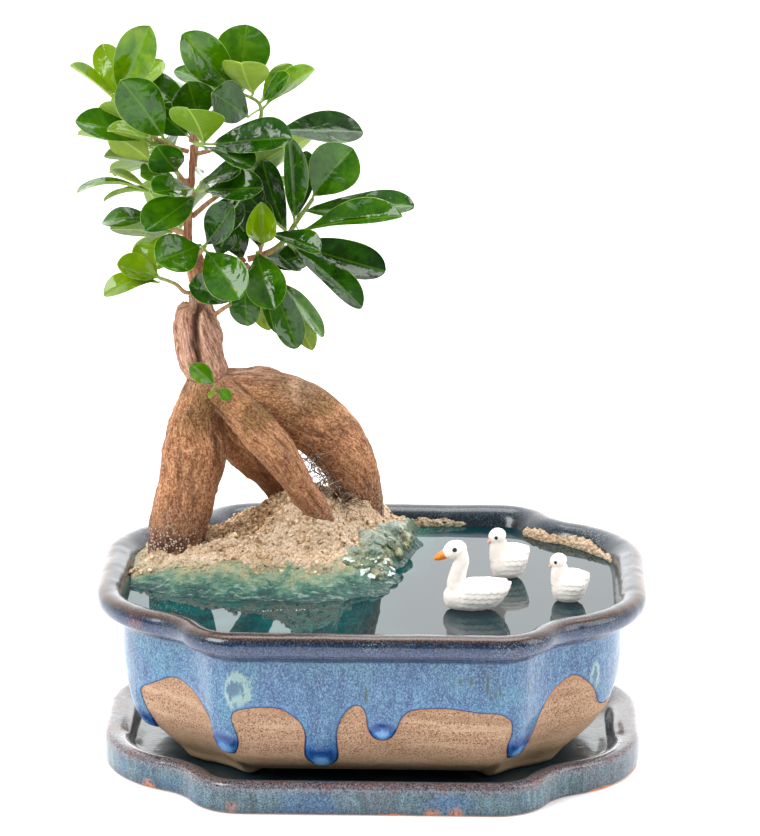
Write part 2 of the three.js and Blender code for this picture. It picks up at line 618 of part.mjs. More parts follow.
function makeSplash() {
  const line = shore.slice(0, surge.length).map(([x, y]) => new THREE.Vector2(x, y));
  const section = line.map((p, i) => {
    const before = line[Math.max(i - 1, 0)];
    const after = line[Math.min(i + 1, line.length - 1)];
    const away = after.clone().sub(before).normalize();
    const out = new THREE.Vector2(away.y, -away.x);
    const [reach, crest] = surge[i];
    const at = (distance, z) => [p.x + out.x * distance, p.y + out.y * distance, z];
    const near = 0.5 + gap;
    return [
      at(near, surgeLow),
      at(reach, surgeLow),
      at(reach, surgeLow + 0.8),
      at(reach * 0.55, surgeLow + crest * 0.45),
      at(reach * 0.25, surgeLow + crest),
      at(near, surgeLow + crest * surgeBack),
    ];
  });
  return loft(section).intersect(filling(waterTop + 0.1, bankRoof));
}

// ---- swans ----

// A bird of moulded resin that faces -X: an egg-shaped body with folded wings, a neck and a head.
// Body stations are [x, half width, middle height, half height]; neck and head are limbs.
const grownSwan = {
  body: [
    [-14.4, 1.4, 5.5, 2], [-12, 4.8, 5.6, 5], [-6, 6.8, 6, 6.4], [1, 7.4, 6.4, 6.8], [8, 5.8, 7.2, 5.8],
    [12.6, 3.2, 9.2, 3.4], [15, 0.9, 11.6, 1.2],
  ],
  wing: [[-7, 0.8, 7, 1.8], [-4, 2.2, 7.6, 4.4], [3, 2.5, 8, 4.8], [9, 1.7, 8.8, 3.6], [13.6, 0.5, 10.6, 1.2]],
  wingSpread: 5.6,
  neck: [[-8, 0, 8, 4.4], [-9, 0, 12.5, 3.5], [-8.2, 0, 17.4, 2.9], [-7.9, 0, 22, 2.8], [-9, 0, 26, 2.9]],
  head: [
    [-5.4, 0, 27.2, 0.9], [-7, 0, 27.4, 2.9], [-9.8, 0, 27, 3.7], [-12.6, 0, 25.8, 2.9], [-14.6, 0, 24.9, 1.9],
    [-17, 0, 23.8, 1.6], [-19.4, 0, 22.8, 0.8],
  ],
};
const cygnetShape = {
  body: [
    [-8.4, 1.2, 5.8, 1.8], [-6.8, 4.2, 6.2, 5.2], [-2.6, 6, 7, 6.9], [2.4, 6, 7.2, 7], [6.4, 4, 7.8, 5],
    [8.8, 1, 9.6, 1.6],
  ],
  wing: [[-4, 0.8, 7.4, 1.6], [-1.6, 2, 7.8, 4.1], [3.2, 2, 8.2, 4.1], [7.4, 0.6, 9.2, 1.4]],
  wingSpread: 4.4,
  neck: [[-4.4, 0, 9, 3.8], [-5.2, 0, 13.6, 3.1], [-5.6, 0, 18, 2.7]],
  head: [
    [-2.2, 0, 19.4, 1], [-3.6, 0, 19.6, 3], [-5.8, 0, 19.4, 3.8], [-8, 0, 18.4, 3], [-9.6, 0, 17.6, 1.4],
    [-11.2, 0, 17, 0.6],
  ],
};
const birds = {
  swan: { shape: grownSwan, at: [46, -34], turn: 0, size: 1 },
  cygnet_1: { shape: cygnetShape, at: [60.5, 11], turn: 8, size: 1 },
  cygnet_2: { shape: cygnetShape, at: [87, -22], turn: -6, size: 0.95 },
};

function eggLoft(stations, shift, sides) {
  return loft(stations.map(([x, halfWidth, middle, halfHeight]) => Array.from({ length: sides }, (_, k) => {
    const angle = (2 * Math.PI * k) / sides;
    return [x, shift + halfWidth * Math.cos(angle), Math.max(0, middle + halfHeight * Math.sin(angle))];
  })));
}

function makeBird({ shape, at, turn, size }) {
  const solids = [eggLoft(shape.body, 0, 8), limb(shape.neck, 6), limb(shape.head, 6)];
  for (const side of [-1, 1]) solids.push(eggLoft(shape.wing, side * shape.wingSpread, 6));
  return joined(solids).scale(size).rotate([0, 0, turn]).translate([...at, waterTop + gap]);
}

// ---- the object ----

const finishes = {
  glaze: { color: 0x4f7fae, roughness: 0.25, metalness: 0 },
  trayGlaze: { color: 0x476f82, roughness: 0.25, metalness: 0 },
  soil: { color: 0x3b2c20, roughness: 0.95, metalness: 0 },
  sand: { color: 0xcdb088, roughness: 0.95, metalness: 0 },
  water: { color: 0x1f6468, roughness: 0.06, metalness: 0 },
  foam: { color: 0x9fc2b4, roughness: 0.2, metalness: 0 },
  bark: { color: 0x8c5a3c, roughness: 0.85, metalness: 0 },
  leaf: { color: 0x2c5a14, roughness: 0.35, metalness: 0 },
  young: { color: 0x5f9a1c, roughness: 0.4, metalness: 0 },
  bird: { color: 0xf0ebe2, roughness: 0.55, metalness: 0 },
};

const bonsai = new THREE.Group();

function place(name, solid, finish) {
  const { vertProperties, triVerts } = solid.getMesh();
  const geometry = new THREE.BufferGeometry();
  geometry.setAttribute("position", new THREE.BufferAttribute(vertProperties, 3));
  geometry.setIndex(new THREE.BufferAttribute(triVerts, 1));
  geometry.computeVertexNormals();
  const mesh = new THREE.Mesh(geometry, new THREE.MeshStandardMaterial(finishes[finish]));
  mesh.name = name;
  bonsai.add(mesh);
}

place("drip_tray", makeTray(), "trayGlaze");
place("pot", makePot(), "glaze");
place("potting_soil", makeSoil(), "soil");
place("sand_bank", makeBank(), "sand");
place("resin_water", makeWater(), "water");
place("resin_splash", makeSplash(), "foam");
place("trunk", makeTrunk(), "bark");
place("trunk_sprout", makeShoot(sprout), "young");
for (const [name, shoot] of Object.entries(shoots)) place(name, makeShoot(shoot), "leaf");
for (const [name, rule] of Object.entries(backShoots)) place(name, makeShoot(growBackShoot(rule)), "leaf");
for (const [name, bird] of Object.entries(birds)) place(name, makeBird(bird), "bird");

export default bonsai;
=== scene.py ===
import math

import bmesh
import bpy
import numpy as np
from mathutils import Matrix, Vector


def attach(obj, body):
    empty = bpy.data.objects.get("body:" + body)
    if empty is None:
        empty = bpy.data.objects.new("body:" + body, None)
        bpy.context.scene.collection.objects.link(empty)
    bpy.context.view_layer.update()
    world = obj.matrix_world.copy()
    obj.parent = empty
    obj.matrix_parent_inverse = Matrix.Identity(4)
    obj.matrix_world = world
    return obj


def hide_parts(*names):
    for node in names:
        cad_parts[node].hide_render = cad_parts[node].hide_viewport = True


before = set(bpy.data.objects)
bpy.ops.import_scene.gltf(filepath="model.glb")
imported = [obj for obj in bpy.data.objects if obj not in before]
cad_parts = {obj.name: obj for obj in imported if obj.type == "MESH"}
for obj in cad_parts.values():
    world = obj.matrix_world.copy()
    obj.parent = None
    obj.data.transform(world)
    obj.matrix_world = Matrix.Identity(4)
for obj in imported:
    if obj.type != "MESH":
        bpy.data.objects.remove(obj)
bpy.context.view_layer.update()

mm = 0.001
print("frame loaded")

# Numbers first, then meshes, then shader nodes. Lengths are in millimetres until a mesh is written.


def smoothStep(low, high, values):
    t = np.clip((values - low) / (high - low), 0, 1)
    return t * t * (3 - 2 * t)


def mix(first, second, share):
    return first + (second - first) * share


def stack(*columns):
    return np.column_stack(columns)


# Length walked along a line of points, at each of its points.
def walked(line):
    return np.concatenate([[0], np.cumsum(np.linalg.norm(np.diff(line, axis=0), axis=1))])


# Soft random field from -1 to 1 that changes over about the given size.
def cloud(points, size, seed=0):
    q = points / size + 11.7 * seed + 500
    cell = np.floor(q).astype(np.int64)
    f = q - cell
    f = f * f * (3 - 2 * f)
    total = np.zeros(len(points))
    for k in range(8):
        step = np.array([k & 1, k >> 1 & 1, k >> 2 & 1])
        h = ((cell + step) @ [374761393, 668265263, 1442695041] + seed * 9176) & 0xFFFFFFFF
        h = ((h ^ (h >> 13)) * 1274126177) & 0xFFFFFFFF
        value = ((h ^ (h >> 16)) & 0xFFFF) / 32767.5 - 1
        total += value * np.prod(np.where(step, f, 1 - f), axis=1)
    return total


def roughCloud(points, size, octaves=3, seed=0):
    return sum(cloud(points, size / 2**k, seed + k) / 2**k for k in range(octaves))


# A smooth line through rows of numbers, with so many steps in each span.
def smoothRows(rows, steps):
    rows = np.array(rows, float)
    out = []
    last = len(rows) - 1
    for i in range(last):
        a, b, c, d = (rows[min(max(i + k, 0), last)] for k in (-1, 0, 1, 2))
        t = np.linspace(0, 1, steps, endpoint=False)[:, None]
        bend, swing = 2 * a - 5 * b + 4 * c - d, 3 * b - a - 3 * c + d
        out.append(0.5 * (2 * b + (c - a) * t + bend * t**2 + swing * t**3))
    return np.vstack([*out, rows[-1:]])


def readRows(mesh, key):
    flat = np.zeros(len(mesh.vertices) * 3)
    mesh.vertices.foreach_get(key, flat)
    return flat.reshape(-1, 3)


def writePoints(mesh, points):
    mesh.vertices.foreach_set("co", np.ascontiguousarray(points, float).ravel())
    mesh.update()


def setLayers(mesh, layers):
    for name, values in layers.items():
        values = np.asarray(values, float)
        kind, key = ("FLOAT", "value") if values.ndim == 1 else ("FLOAT_VECTOR", "vector")
        made = mesh.attributes.new(name, kind, "POINT")
        made.data.foreach_set(key, np.ascontiguousarray(values, np.float32).ravel())


def readLayer(mesh, name):
    values = np.zeros(len(mesh.vertices), np.float32)
    mesh.attributes[name].data.foreach_get("value", values)
    return values


def closeShape(shape, mesh):
    shape.to_mesh(mesh)
    shape.free()
    return mesh


# A grid wrapped round a form: place(u, v) gives its points and the layers that its material reads.
# u closes on itself, rows that meet in a point are merged, and the two ends are filled.
def wrapGrid(around, along, place):
    shape = bmesh.new()
    bmesh.ops.create_grid(shape, x_segments=around, y_segments=along, size=0.5)
    mesh = bpy.data.meshes.new("wrapped")
    shape.to_mesh(mesh)
    flat = readRows(mesh, "co") + 0.5
    points, layers = place(flat[:, 0], flat[:, 1])
    writePoints(mesh, points * mm)
    setLayers(mesh, layers)
    corners = np.zeros(len(mesh.loops), np.int32)
    mesh.loops.foreach_get("vertex_index", corners)
    wrapped = mesh.uv_layers.new(name="wrap")
    wrapped.data.foreach_set("uv", flat[corners, :2].astype(np.float32).ravel())
    shape.clear()
    shape.from_mesh(mesh)
    bmesh.ops.remove_doubles(shape, verts=shape.verts, dist=2e-6)
    bmesh.ops.holes_fill(shape, edges=shape.edges, sides=0)
    bmesh.ops.recalc_face_normals(shape, faces=shape.faces)
    return closeShape(shape, mesh)


# Small balls as one mesh. Each matrix is made by ballAt from a place, a turn and three half sizes.
def strewBalls(name, matrices, subdivisions=1):
    shape = bmesh.new()
    for matrix in matrices:
        bmesh.ops.create_icosphere(shape, subdivisions=subdivisions, radius=1, matrix=matrix)
    return closeShape(shape, bpy.data.meshes.new(name))


def ballAt(point, turn, halves):
    return Matrix.Translation(Vector(point)) @ turn @ Matrix.Diagonal((*halves, 1))


def turned(angle, axis="Z"):
    return Matrix.Rotation(angle, 4, axis)


def joinMeshes(name, meshes):
    shape = bmesh.new()
    for mesh in meshes:
        shape.from_mesh(mesh)
        bpy.data.meshes.remove(mesh)
    return closeShape(shape, bpy.data.meshes.new(name))


def newObject(name, data):
    made = bpy.data.objects.new(name, data)
    bpy.context.scene.collection.objects.link(made)
    return made


# Several meshes as one object that stands at the origin and rides on the part.
def makePiece(name, meshes, materials, nodes, smooth=True):
    whole = joinMeshes(name, meshes)
    for material in materials:
        whole.materials.append(material)
    whole.polygons.foreach_set("use_smooth", [smooth] * len(whole.polygons))
    piece = newObject(name, whole)
    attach(piece, "root")
    if nodes:
        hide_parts(*nodes)


def paintFaces(mesh, index):
    mesh.polygons.foreach_set("material_index", [index] * len(mesh.polygons))
    return mesh


# Melts overlapping forms into one skin and smooths it so many times.
def meltMeshes(name, meshes, voxel, rounds):
    lump = newObject(name, joinMeshes(name, meshes))
    melt = lump.modifiers.new("melt", "REMESH")
    melt.mode = "VOXEL"
    melt.voxel_size = voxel * mm
    ready = lump.evaluated_get(bpy.context.evaluated_depsgraph_get())
    melted = bpy.data.meshes.new_from_object(ready)
    bpy.data.objects.remove(lump)
    shape = bmesh.new()
    shape.from_mesh(melted)
    every = {"use_axis_x": True, "use_axis_y": True, "use_axis_z": True}
    for _ in range(rounds):
        bmesh.ops.smooth_vert(shape, verts=shape.verts, factor=0.5, **every)
    return closeShape(shape, melted)


# A limb's middle line with a side direction at each of its points, for rows of x, y, z, radius.
def limbFrames(rows):
    middles = rows[:, :3]
    along = np.gradient(middles, axis=0)
    along /= np.linalg.norm(along, axis=1)[:, None]
    side = np.cross([0, 1, 0], along[0])
    if np.linalg.norm(side) < 0.3:
        side = np.cross([1, 0, 0], along[0])
    sides = []
    for direction in along:
        side = side - direction * (side @ direction)
        side = side / np.linalg.norm(side)
        sides.append(side)
    sides = np.array(sides)
    return middles, along, sides, np.cross(along, sides)


def limbMesh(rows, around, steps=4):
    fine = smoothRows(rows, steps)
    middles, _, sides, others = limbFrames(fine)
    last = len(fine) - 1

    def place(u, v):
        at = np.rint(v * last).astype(int)
        angle = 2 * math.pi * u
        out = sides[at] * np.cos(angle)[:, None] + others[at] * np.sin(angle)[:, None]
        return middles[at] + fine[at, 3][:, None] * out, {"length": v * last / steps}

    return wrapGrid(around, last, place)


# Shader nodes, by short calls that take and give back sockets. They go into the tree begun last,
# and a field is laid on the Object coordinates where no other vector is given.
work = {"tree": None}


def put(node, key, source):
    if isinstance(source, bpy.types.NodeSocket):
        work["tree"].links.new(source, node.inputs[key])
    else:
        node.inputs[key].default_value = source


def newNode(kind, values, **settings):
    node = work["tree"].nodes.new("ShaderNode" + kind)
    for key, value in settings.items():
        setattr(node, key, value)
    for key, value in values.items():
        put(node, key, place3d() if value is None else value)
    return node.outputs


def place3d():
    return newNode("TexCoord", {})["Object"]


def stretched(scale, vector=None):
    return newNode("Mapping", {"Vector": vector, "Scale": scale})["Vector"]


def height():
    return newNode("SeparateXYZ", {"Vector": None})["Z"]


def layer(name, output="Fac"):
    return newNode("Attribute", {}, attribute_name=name)[output]


def noise(scale, detail=3, rough=0.55, warp=0, at=None):
    values = {"Vector": at, "Scale": scale, "Detail": detail, "Roughness": rough, "Distortion": warp}
    return newNode("TexNoise", values)["Fac"]


def cells(scale, output="Distance", at=None):
    return newNode("TexVoronoi", {"Vector": at, "Scale": scale})[output]


def useGroup(group, at=None, **values):
    return newNode("Group", {"Vector": at, **values}, node_tree=group)


# The value's way from low to high, as a number from start to end.
def spread(value, low, high, end=1.0, start=0.0):
    values = {"Value": value, "From Min": low, "From Max": high, "To Min": start, "To Max": end}
    return newNode("MapRange", values)["Result"]


def calc(kind, first, second=0.0):
    return newNode("Math", {0: first, 1: second}, operation=kind)["Value"]


def times(first, second):
    return calc("MULTIPLY", first, second)


def plus(first, second):
    return calc("ADD", first, second)


def less(first, second):
    return calc("SUBTRACT", first, second)


# 1 within a distance of a point and 0 a soft step beyond it, in millimetres.
def nearPoint(point, reach, soft):
    away = newNode("VectorMath", {0: None, 1: [c * mm for c in point]}, operation="DISTANCE")["Value"]
    return spread(away, (reach + soft) * mm, (reach - soft) * mm)


def colour(red, green, blue):
    def linear(c):
        c /= 255
        return c / 12.92 if c <= 0.04045 else ((c + 0.055) / 1.055) ** 2.4

    return (linear(red), linear(green), linear(blue), 1)


def blend(share, first, second):
    return newNode("Mix", {0: share, 6: first, 7: second}, data_type="RGBA")[2]


# Coats laid over a colour one after the other: rows of share and colour, as numbers or as a socket.
def coats(base, rows):
    for share, *shade in rows:
        base = blend(share, base, colour(*shade) if len(shade) == 3 else shade[0])
    return base


# Colours along a value: rows of place, red, green, blue.
def ramp(value, rows):
    made = work["tree"].nodes.new("ShaderNodeValToRGB")
    stops = made.color_ramp.elements
    while len(stops) < len(rows):
        stops.new(0.5)
    for stop, (place, *shade) in zip(stops, rows):
        stop.position, stop.color = place, colour(*shade)
    put(made, "Fac", value)
    return made.outputs["Color"]


def beginFinish(name):
    material = bpy.data.materials.new(name)
    material.use_nodes = True
    work["tree"] = material.node_tree
    return material


# Ends a finish: what its shader takes, and its relief as height, distance and strength.
def endFinish(material, base, rough, relief=None, others=None):
    shader = material.node_tree.nodes["Principled BSDF"]
    for key, value in {"Base Color": base, "Roughness": rough, **(others or {})}.items():
        put(shader, key, value)
    if relief:
        high, distance, strength = relief
        bump = newNode("Bump", {"Height": high, "Distance": distance * mm, "Strength": strength})
        put(shader, "Normal", bump["Normal"])
    return material


# A finish of two or more colours along one fine noise.
def plainFinish(name, scale, detail, rows, rough):
    material = beginFinish(name)
    return endFinish(material, ramp(noise(scale, detail), rows), rough)


# A shader group that several materials share: numbers in, masks and values out.
def beginGroup(name, inputs, outputs):
    group = bpy.data.node_groups.new(name, "ShaderNodeTree")
    work["tree"] = group
    group.interface.new_socket(name="Vector", in_out="INPUT", socket_type="NodeSocketVector")
    for key, value in inputs.items():
        socket = group.interface.new_socket(name=key, in_out="INPUT", socket_type="NodeSocketFloat")
        socket.default_value = value
    for key in outputs:
        group.interface.new_socket(name=key, in_out="OUTPUT", socket_type="NodeSocketFloat")
    return group, group.nodes.new("NodeGroupInput").outputs, group.nodes.new("NodeGroupOutput")


# Dark or pale grains strewn through a body: Specks is 1 inside a grain, Grain is a fine tooth.
def makeSpeckGroup():
    group, start, end = beginGroup("strewnSpecks", {"Scale": 900.0, "Amount": 0.3}, ["Specks", "Grain"])
    vector, scale = start["Vector"], start["Scale"]
    spots = calc("LESS_THAN", cells(scale, at=vector), start["Amount"])
    bright = spread(cells(scale, "Color", at=vector), 0.45, 0.55)
    put(end, "Specks", times(spots, bright))
    put(end, "Grain", noise(scale, 4, 0.7, at=vector))
    return group


# Glaze that curdled as it ran: Streaks are long and soft, Curds are fine and broken.
def makeRunGroup():
    group, start, end = beginGroup("runGlaze", {"Scale": 300.0}, ["Streaks", "Curds", "Clouds"])
    vector, scale = start["Vector"], start["Scale"]
    put(end, "Streaks", noise(scale, 4, 0.65, 0.4, at=stretched((1, 1, 0.16), vector)))
    put(end, "Curds", noise(times(scale, 3.2), 3, 0.7, 0.2, at=stretched((1, 1, 0.45), vector)))
    put(end, "Clouds", noise(times(scale, 0.25), 3, 0.6, 0.6, at=vector))
    return group


speckGroup = makeSpeckGroup()
runGroup = makeRunGroup()
print("helpers ready")


# The outline that pot and tray share. One quarter runs from the middle of the front to the middle
# of the +X end: a straight, a round, a hollow, a wider round, and a straight.
corner = {"front": 26, "hollow": 25, "end": 50, "turn": 65, "back": 40, "squareInset": 14, "shrink": 110}


def quarterWalk(halfX, halfY, steps):
    rounds = [
        (corner["front"], 0, corner["turn"]),
        (-corner["hollow"], corner["turn"], corner["turn"] - corner["back"]),
        (corner["end"], corner["turn"] - corner["back"], 90),
    ]
    x = y = 0
    walk = [(0, 0, 0, 0, 1)]
    for radius, start, end in rounds:
        first = math.radians(start)
        for turn in np.radians(np.linspace(start, end, 80)):
            px = x + radius * (math.sin(turn) - math.sin(first))
            py = y + radius * (math.cos(first) - math.cos(turn))
            walk.append((1, px, py, turn, 1))
        x, y = px, py
    walk.append((1, x, y, math.pi / 2, 0))
    rows = np.array(walk)
    places = np.concatenate([[0], halfX - x + walked(rows[1:-1, 1:3])])
    places = np.append(places, places[-1] + halfY - y)
    wanted = np.linspace(0, places[-1], steps + 1)
    return stack(*(np.interp(wanted, places, column) for column in rows.T)), wanted, x, y


# Points on the outline of a wall, pulled in by an inset. u runs once round from the front's middle.
class Outline:
    def __init__(self, shape):
        self.halfX, self.halfY, self.around = shape["halfX"], shape["halfY"], shape["around"]
        self.quarter = self.around // 4
        self.walk, self.places, self.endX, self.endY = quarterWalk(self.halfX, self.halfY, self.quarter)
        self.length = 4 * self.places[-1]

    def at(self, u, inset):
        step = np.rint(u * self.around).astype(int) % self.around
        part, rest = step // self.quarter, step % self.quarter
        index = np.where(part % 2 == 1, self.quarter - rest, rest)
        a, px, py, turn, b = self.walk[index].T
        square = np.minimum(inset, corner["squareInset"])
        inward = inset - square
        scale = 1 - inward / corner["shrink"]
        halfX, halfY = self.halfX - inward, self.halfY - inward
        x = a * (halfX - self.endX * scale) + px * scale - square * np.sin(turn)
        y = b * (-halfY + py * scale) + square * np.cos(turn)
        signX = np.where(part < 2, 1, -1)
        signY = np.where((part == 0) | (part == 3), 1, -1)
        outX, outY = signX * np.sin(turn), -signY * np.cos(turn)
        return signX * x, signY * y, outX, outY, self.places[index], signX, signY


# Rows of a profile, taken at even steps; the steps are finer where the weight is larger.
def evenProfile(rows, count, weight):
    fine = smoothRows(rows, 14)
    gaps = np.hypot(np.diff(fine[:, 0]), np.diff(fine[:, 1])) + 1e-6
    gaps = gaps * weight(0.5 * (fine[1:] + fine[:-1]))
    reach = np.concatenate([[0], np.cumsum(gaps)])
    wanted = np.linspace(0, reach[-1], count + 1)
    return stack(*(np.interp(wanted, reach, column) for column in fine.T))


potShape = {
    "halfX": 120, "halfY": 97.5,
    # inset and height, from below to the inside: first between the feet, up to where the wall begins,
    # and the same rows at a foot, then the rows of the wall
    "between": [
        (92, 9.7), (74, 9.6), (60, 9.6), (54, 9.6), (51, 9.6), (48, 9.6), (43, 9.5), (39, 10), (36, 11.2),
        (31.4, 13.6), (26.4, 17.4), (22, 22),
    ],
    "atFoot": [
        (92, 9.7), (74, 9.6), (62, 9.6), (56, 9.4), (52.5, 6.8), (49.5, 5.66), (42, 5.62), (36.5, 5.8),
        (33.6, 7.6), (31, 11.2), (27, 16), (22.6, 21.4),
    ],
    "wall": [
        (18.2, 27.4), (15, 33), (13, 39.8), (11.5, 47), (10.8, 57), (10.6, 66), (10.2, 69.6), (8.3, 71.2),
        (6.6, 72), (6, 73), (5.4, 73.6), (3.2, 74.1), (1, 75.6), (0, 78.2), (0.3, 80.6), (1.5, 82.2),
        (3.4, 82.9), (5.6, 82.9), (8, 82), (10, 80.2), (11.6, 77.4), (13.4, 73), (16, 68), (17, 60), (18, 47),
        (23, 31), (34, 18), (52, 14), (80, 14),
    ],
    "foot": {"from": 91, "to": 123, "soft": 17},  # along the outline, from the middle of the front
    "around": 720, "along": 128, "glazeThick": 0.75, "dripRelief": 1.7,
    # places along the outline and heights: pale curdled rings with half sizes, thin dark runs
    "paleRings": [(-58, 56, 8.4, 8), (119.5, 51.5, 3.8, 7.6)],
    "darkRuns": [
        (44.4, 61, 2.6), (51.3, 60, 5.6), (57.4, 57, 3), (81, 57.3, 2), (-0.7, 54.6, 4.4), (39.5, 61, 1.4),
        (54.6, 55.5, 2.2), (-150, 58, 3), (152, 56, 4), (210, 59, 4), (236, 55, 3), (-186, 60, 3),
    ],
}

# The lower edge of the glaze: place along the outline from the middle of the front, and height.
glazeEdge = {
    "front": [
        (-150, 44), (-143, 36), (-139, 26), (-134.6, 21.4), (-129.6, 22.6), (-126, 27), (-124.6, 32),
        (-125.4, 37), (-126.4, 41), (-123, 44.4), (-117, 46.6), (-109, 49.8), (-103, 52), (-99, 52.4),
        (-95.4, 50.2), (-91.4, 46.6), (-88.4, 41.4), (-86, 36.6), (-84.6, 31.6), (-83.4, 26.6),
        (-79.6, 23.2), (-74, 22.4), (-67, 23.8), (-61, 27.2), (-57.6, 31), (-57.2, 34.8), (-59, 38.2),
        (-61, 41.6), (-60, 44.6), (-56.6, 46.4), (-47, 47.9), (-38, 47.4), (-33, 44.6), (-29, 40.6),
        (-27.2, 35), (-28.3, 28), (-29, 22), (-26.5, 17.4), (-21.5, 16), (-16.4, 17.8), (-13.6, 22.4),
        (-13.4, 29), (-13.1, 36), (-11.6, 42), (-8.6, 47.2), (-5.4, 49.3), (-2.6, 48.6), (-0.9, 44.6),
        (-0.2, 38.6), (2.2, 34), (6.3, 32.2), (10.2, 33.8), (12.6, 38), (14.6, 43.4), (18.4, 47),
        (27, 48.2), (36, 48.1), (47, 46.4), (57, 45.8), (62.6, 44.2), (66.8, 42), (68.8, 38), (68.8, 34),
        (68.4, 30.6), (70, 27), (74.4, 23.6), (80, 21), (86, 19.4), (91, 20), (92.8, 23.4), (92.2, 28),
        (92, 32.4), (92.4, 37.4), (93.2, 41.4), (94.6, 46), (98.6, 51.6), (103.6, 54.9), (109, 53.8),
        (114, 50.8), (119.4, 46.8), (122.4, 43.2), (125, 39.6), (129, 37.2), (135, 36.2), (140, 36.8),
        (143, 40), (149, 45),
    ],
    "bulbs": [
        (-71, 28.6, 14.6, 7), (-21.4, 22, 8.4, 7.6), (6.2, 36.6, 6.6, 5.2), (81, 26.6, 13, 8.4),
        (-133, 27, 7, 7),
    ],
    "arch": (44, 51), "tip": (18, 36), "pitch": 34, "seed": 5,  # round the ends and the back
}


# The glaze's edge all the way round, as one closed line over the wall unrolled.
def glazeLine(length):
    draw = np.random.default_rng(glazeEdge["seed"])
    line, bulbs = list(glazeEdge["front"]), list(glazeEdge["bulbs"])
    start, stop = line[-1][0] + 7, length + line[0][0] - 7
    count = round((stop - start) / glazeEdge["pitch"])
    pitch = (stop - start) / count
    for k in range(count):
        middle = start + pitch * (k + 0.5) + draw.uniform(-4, 4)
        tip, arch = draw.uniform(*glazeEdge["tip"]), draw.uniform(*glazeEdge["arch"])
        half = draw.uniform(4.6, 7)
        bulbs.append((middle, tip + 6, half * 1.1, 6.4))
        line += [
            (middle - pitch * 0.36, arch), (middle - half - 3, arch - 3.4),
            (middle - half, mix(arch, tip, 0.55)),
            (middle - half - 0.4, tip + 6), (middle - half * 0.5, tip + 1), (middle + half * 0.5, tip + 0.6),
            (middle + half, tip + 6), (middle + half, mix(arch, tip, 0.5)), (middle + half + 3, arch - 3),
            (middle + pitch * 0.38, arch + draw.uniform(-1, 1)),
        ]
    return smoothRows(line, 4), bulbs


# Distance to the edge of the glaze, above zero where the wall is glazed.
def glazeDistance(places, heights, length):
    line, bulbs = glazeLine(length)
    first, last = line[0], line[-1]
    line = np.vstack([[first[0] - 400, first[1]], line, [last[0] + 400, last[1]]])
    a, b = line[:-1], line[1:]
    nearest = np.full(len(places), 1e9)
    crossings = np.zeros(len(places), int)
    for (ax, az), (bx, bz) in zip(a, b):
        dx, dz = bx - ax, bz - az
        share = np.clip(((places - ax) * dx + (heights - az) * dz) / (dx * dx + dz * dz + 1e-9), 0, 1)
        away = np.hypot(places - ax - share * dx, heights - az - share * dz)
        nearest = np.minimum(nearest, away)
        over = ((ax > places) != (bx > places)) & (heights > az + (places - ax) * dz / (dx if dx else 1e-9))
        crossings += over
    bulb = np.full(len(places), 3.0)
    for middle, level, halfWide, halfHigh in bulbs:
        bulb = np.minimum(bulb, np.hypot((places - middle) / halfWide, (heights - level) / halfHigh))
    return np.where(crossings % 2 == 1, nearest, -nearest), bulb


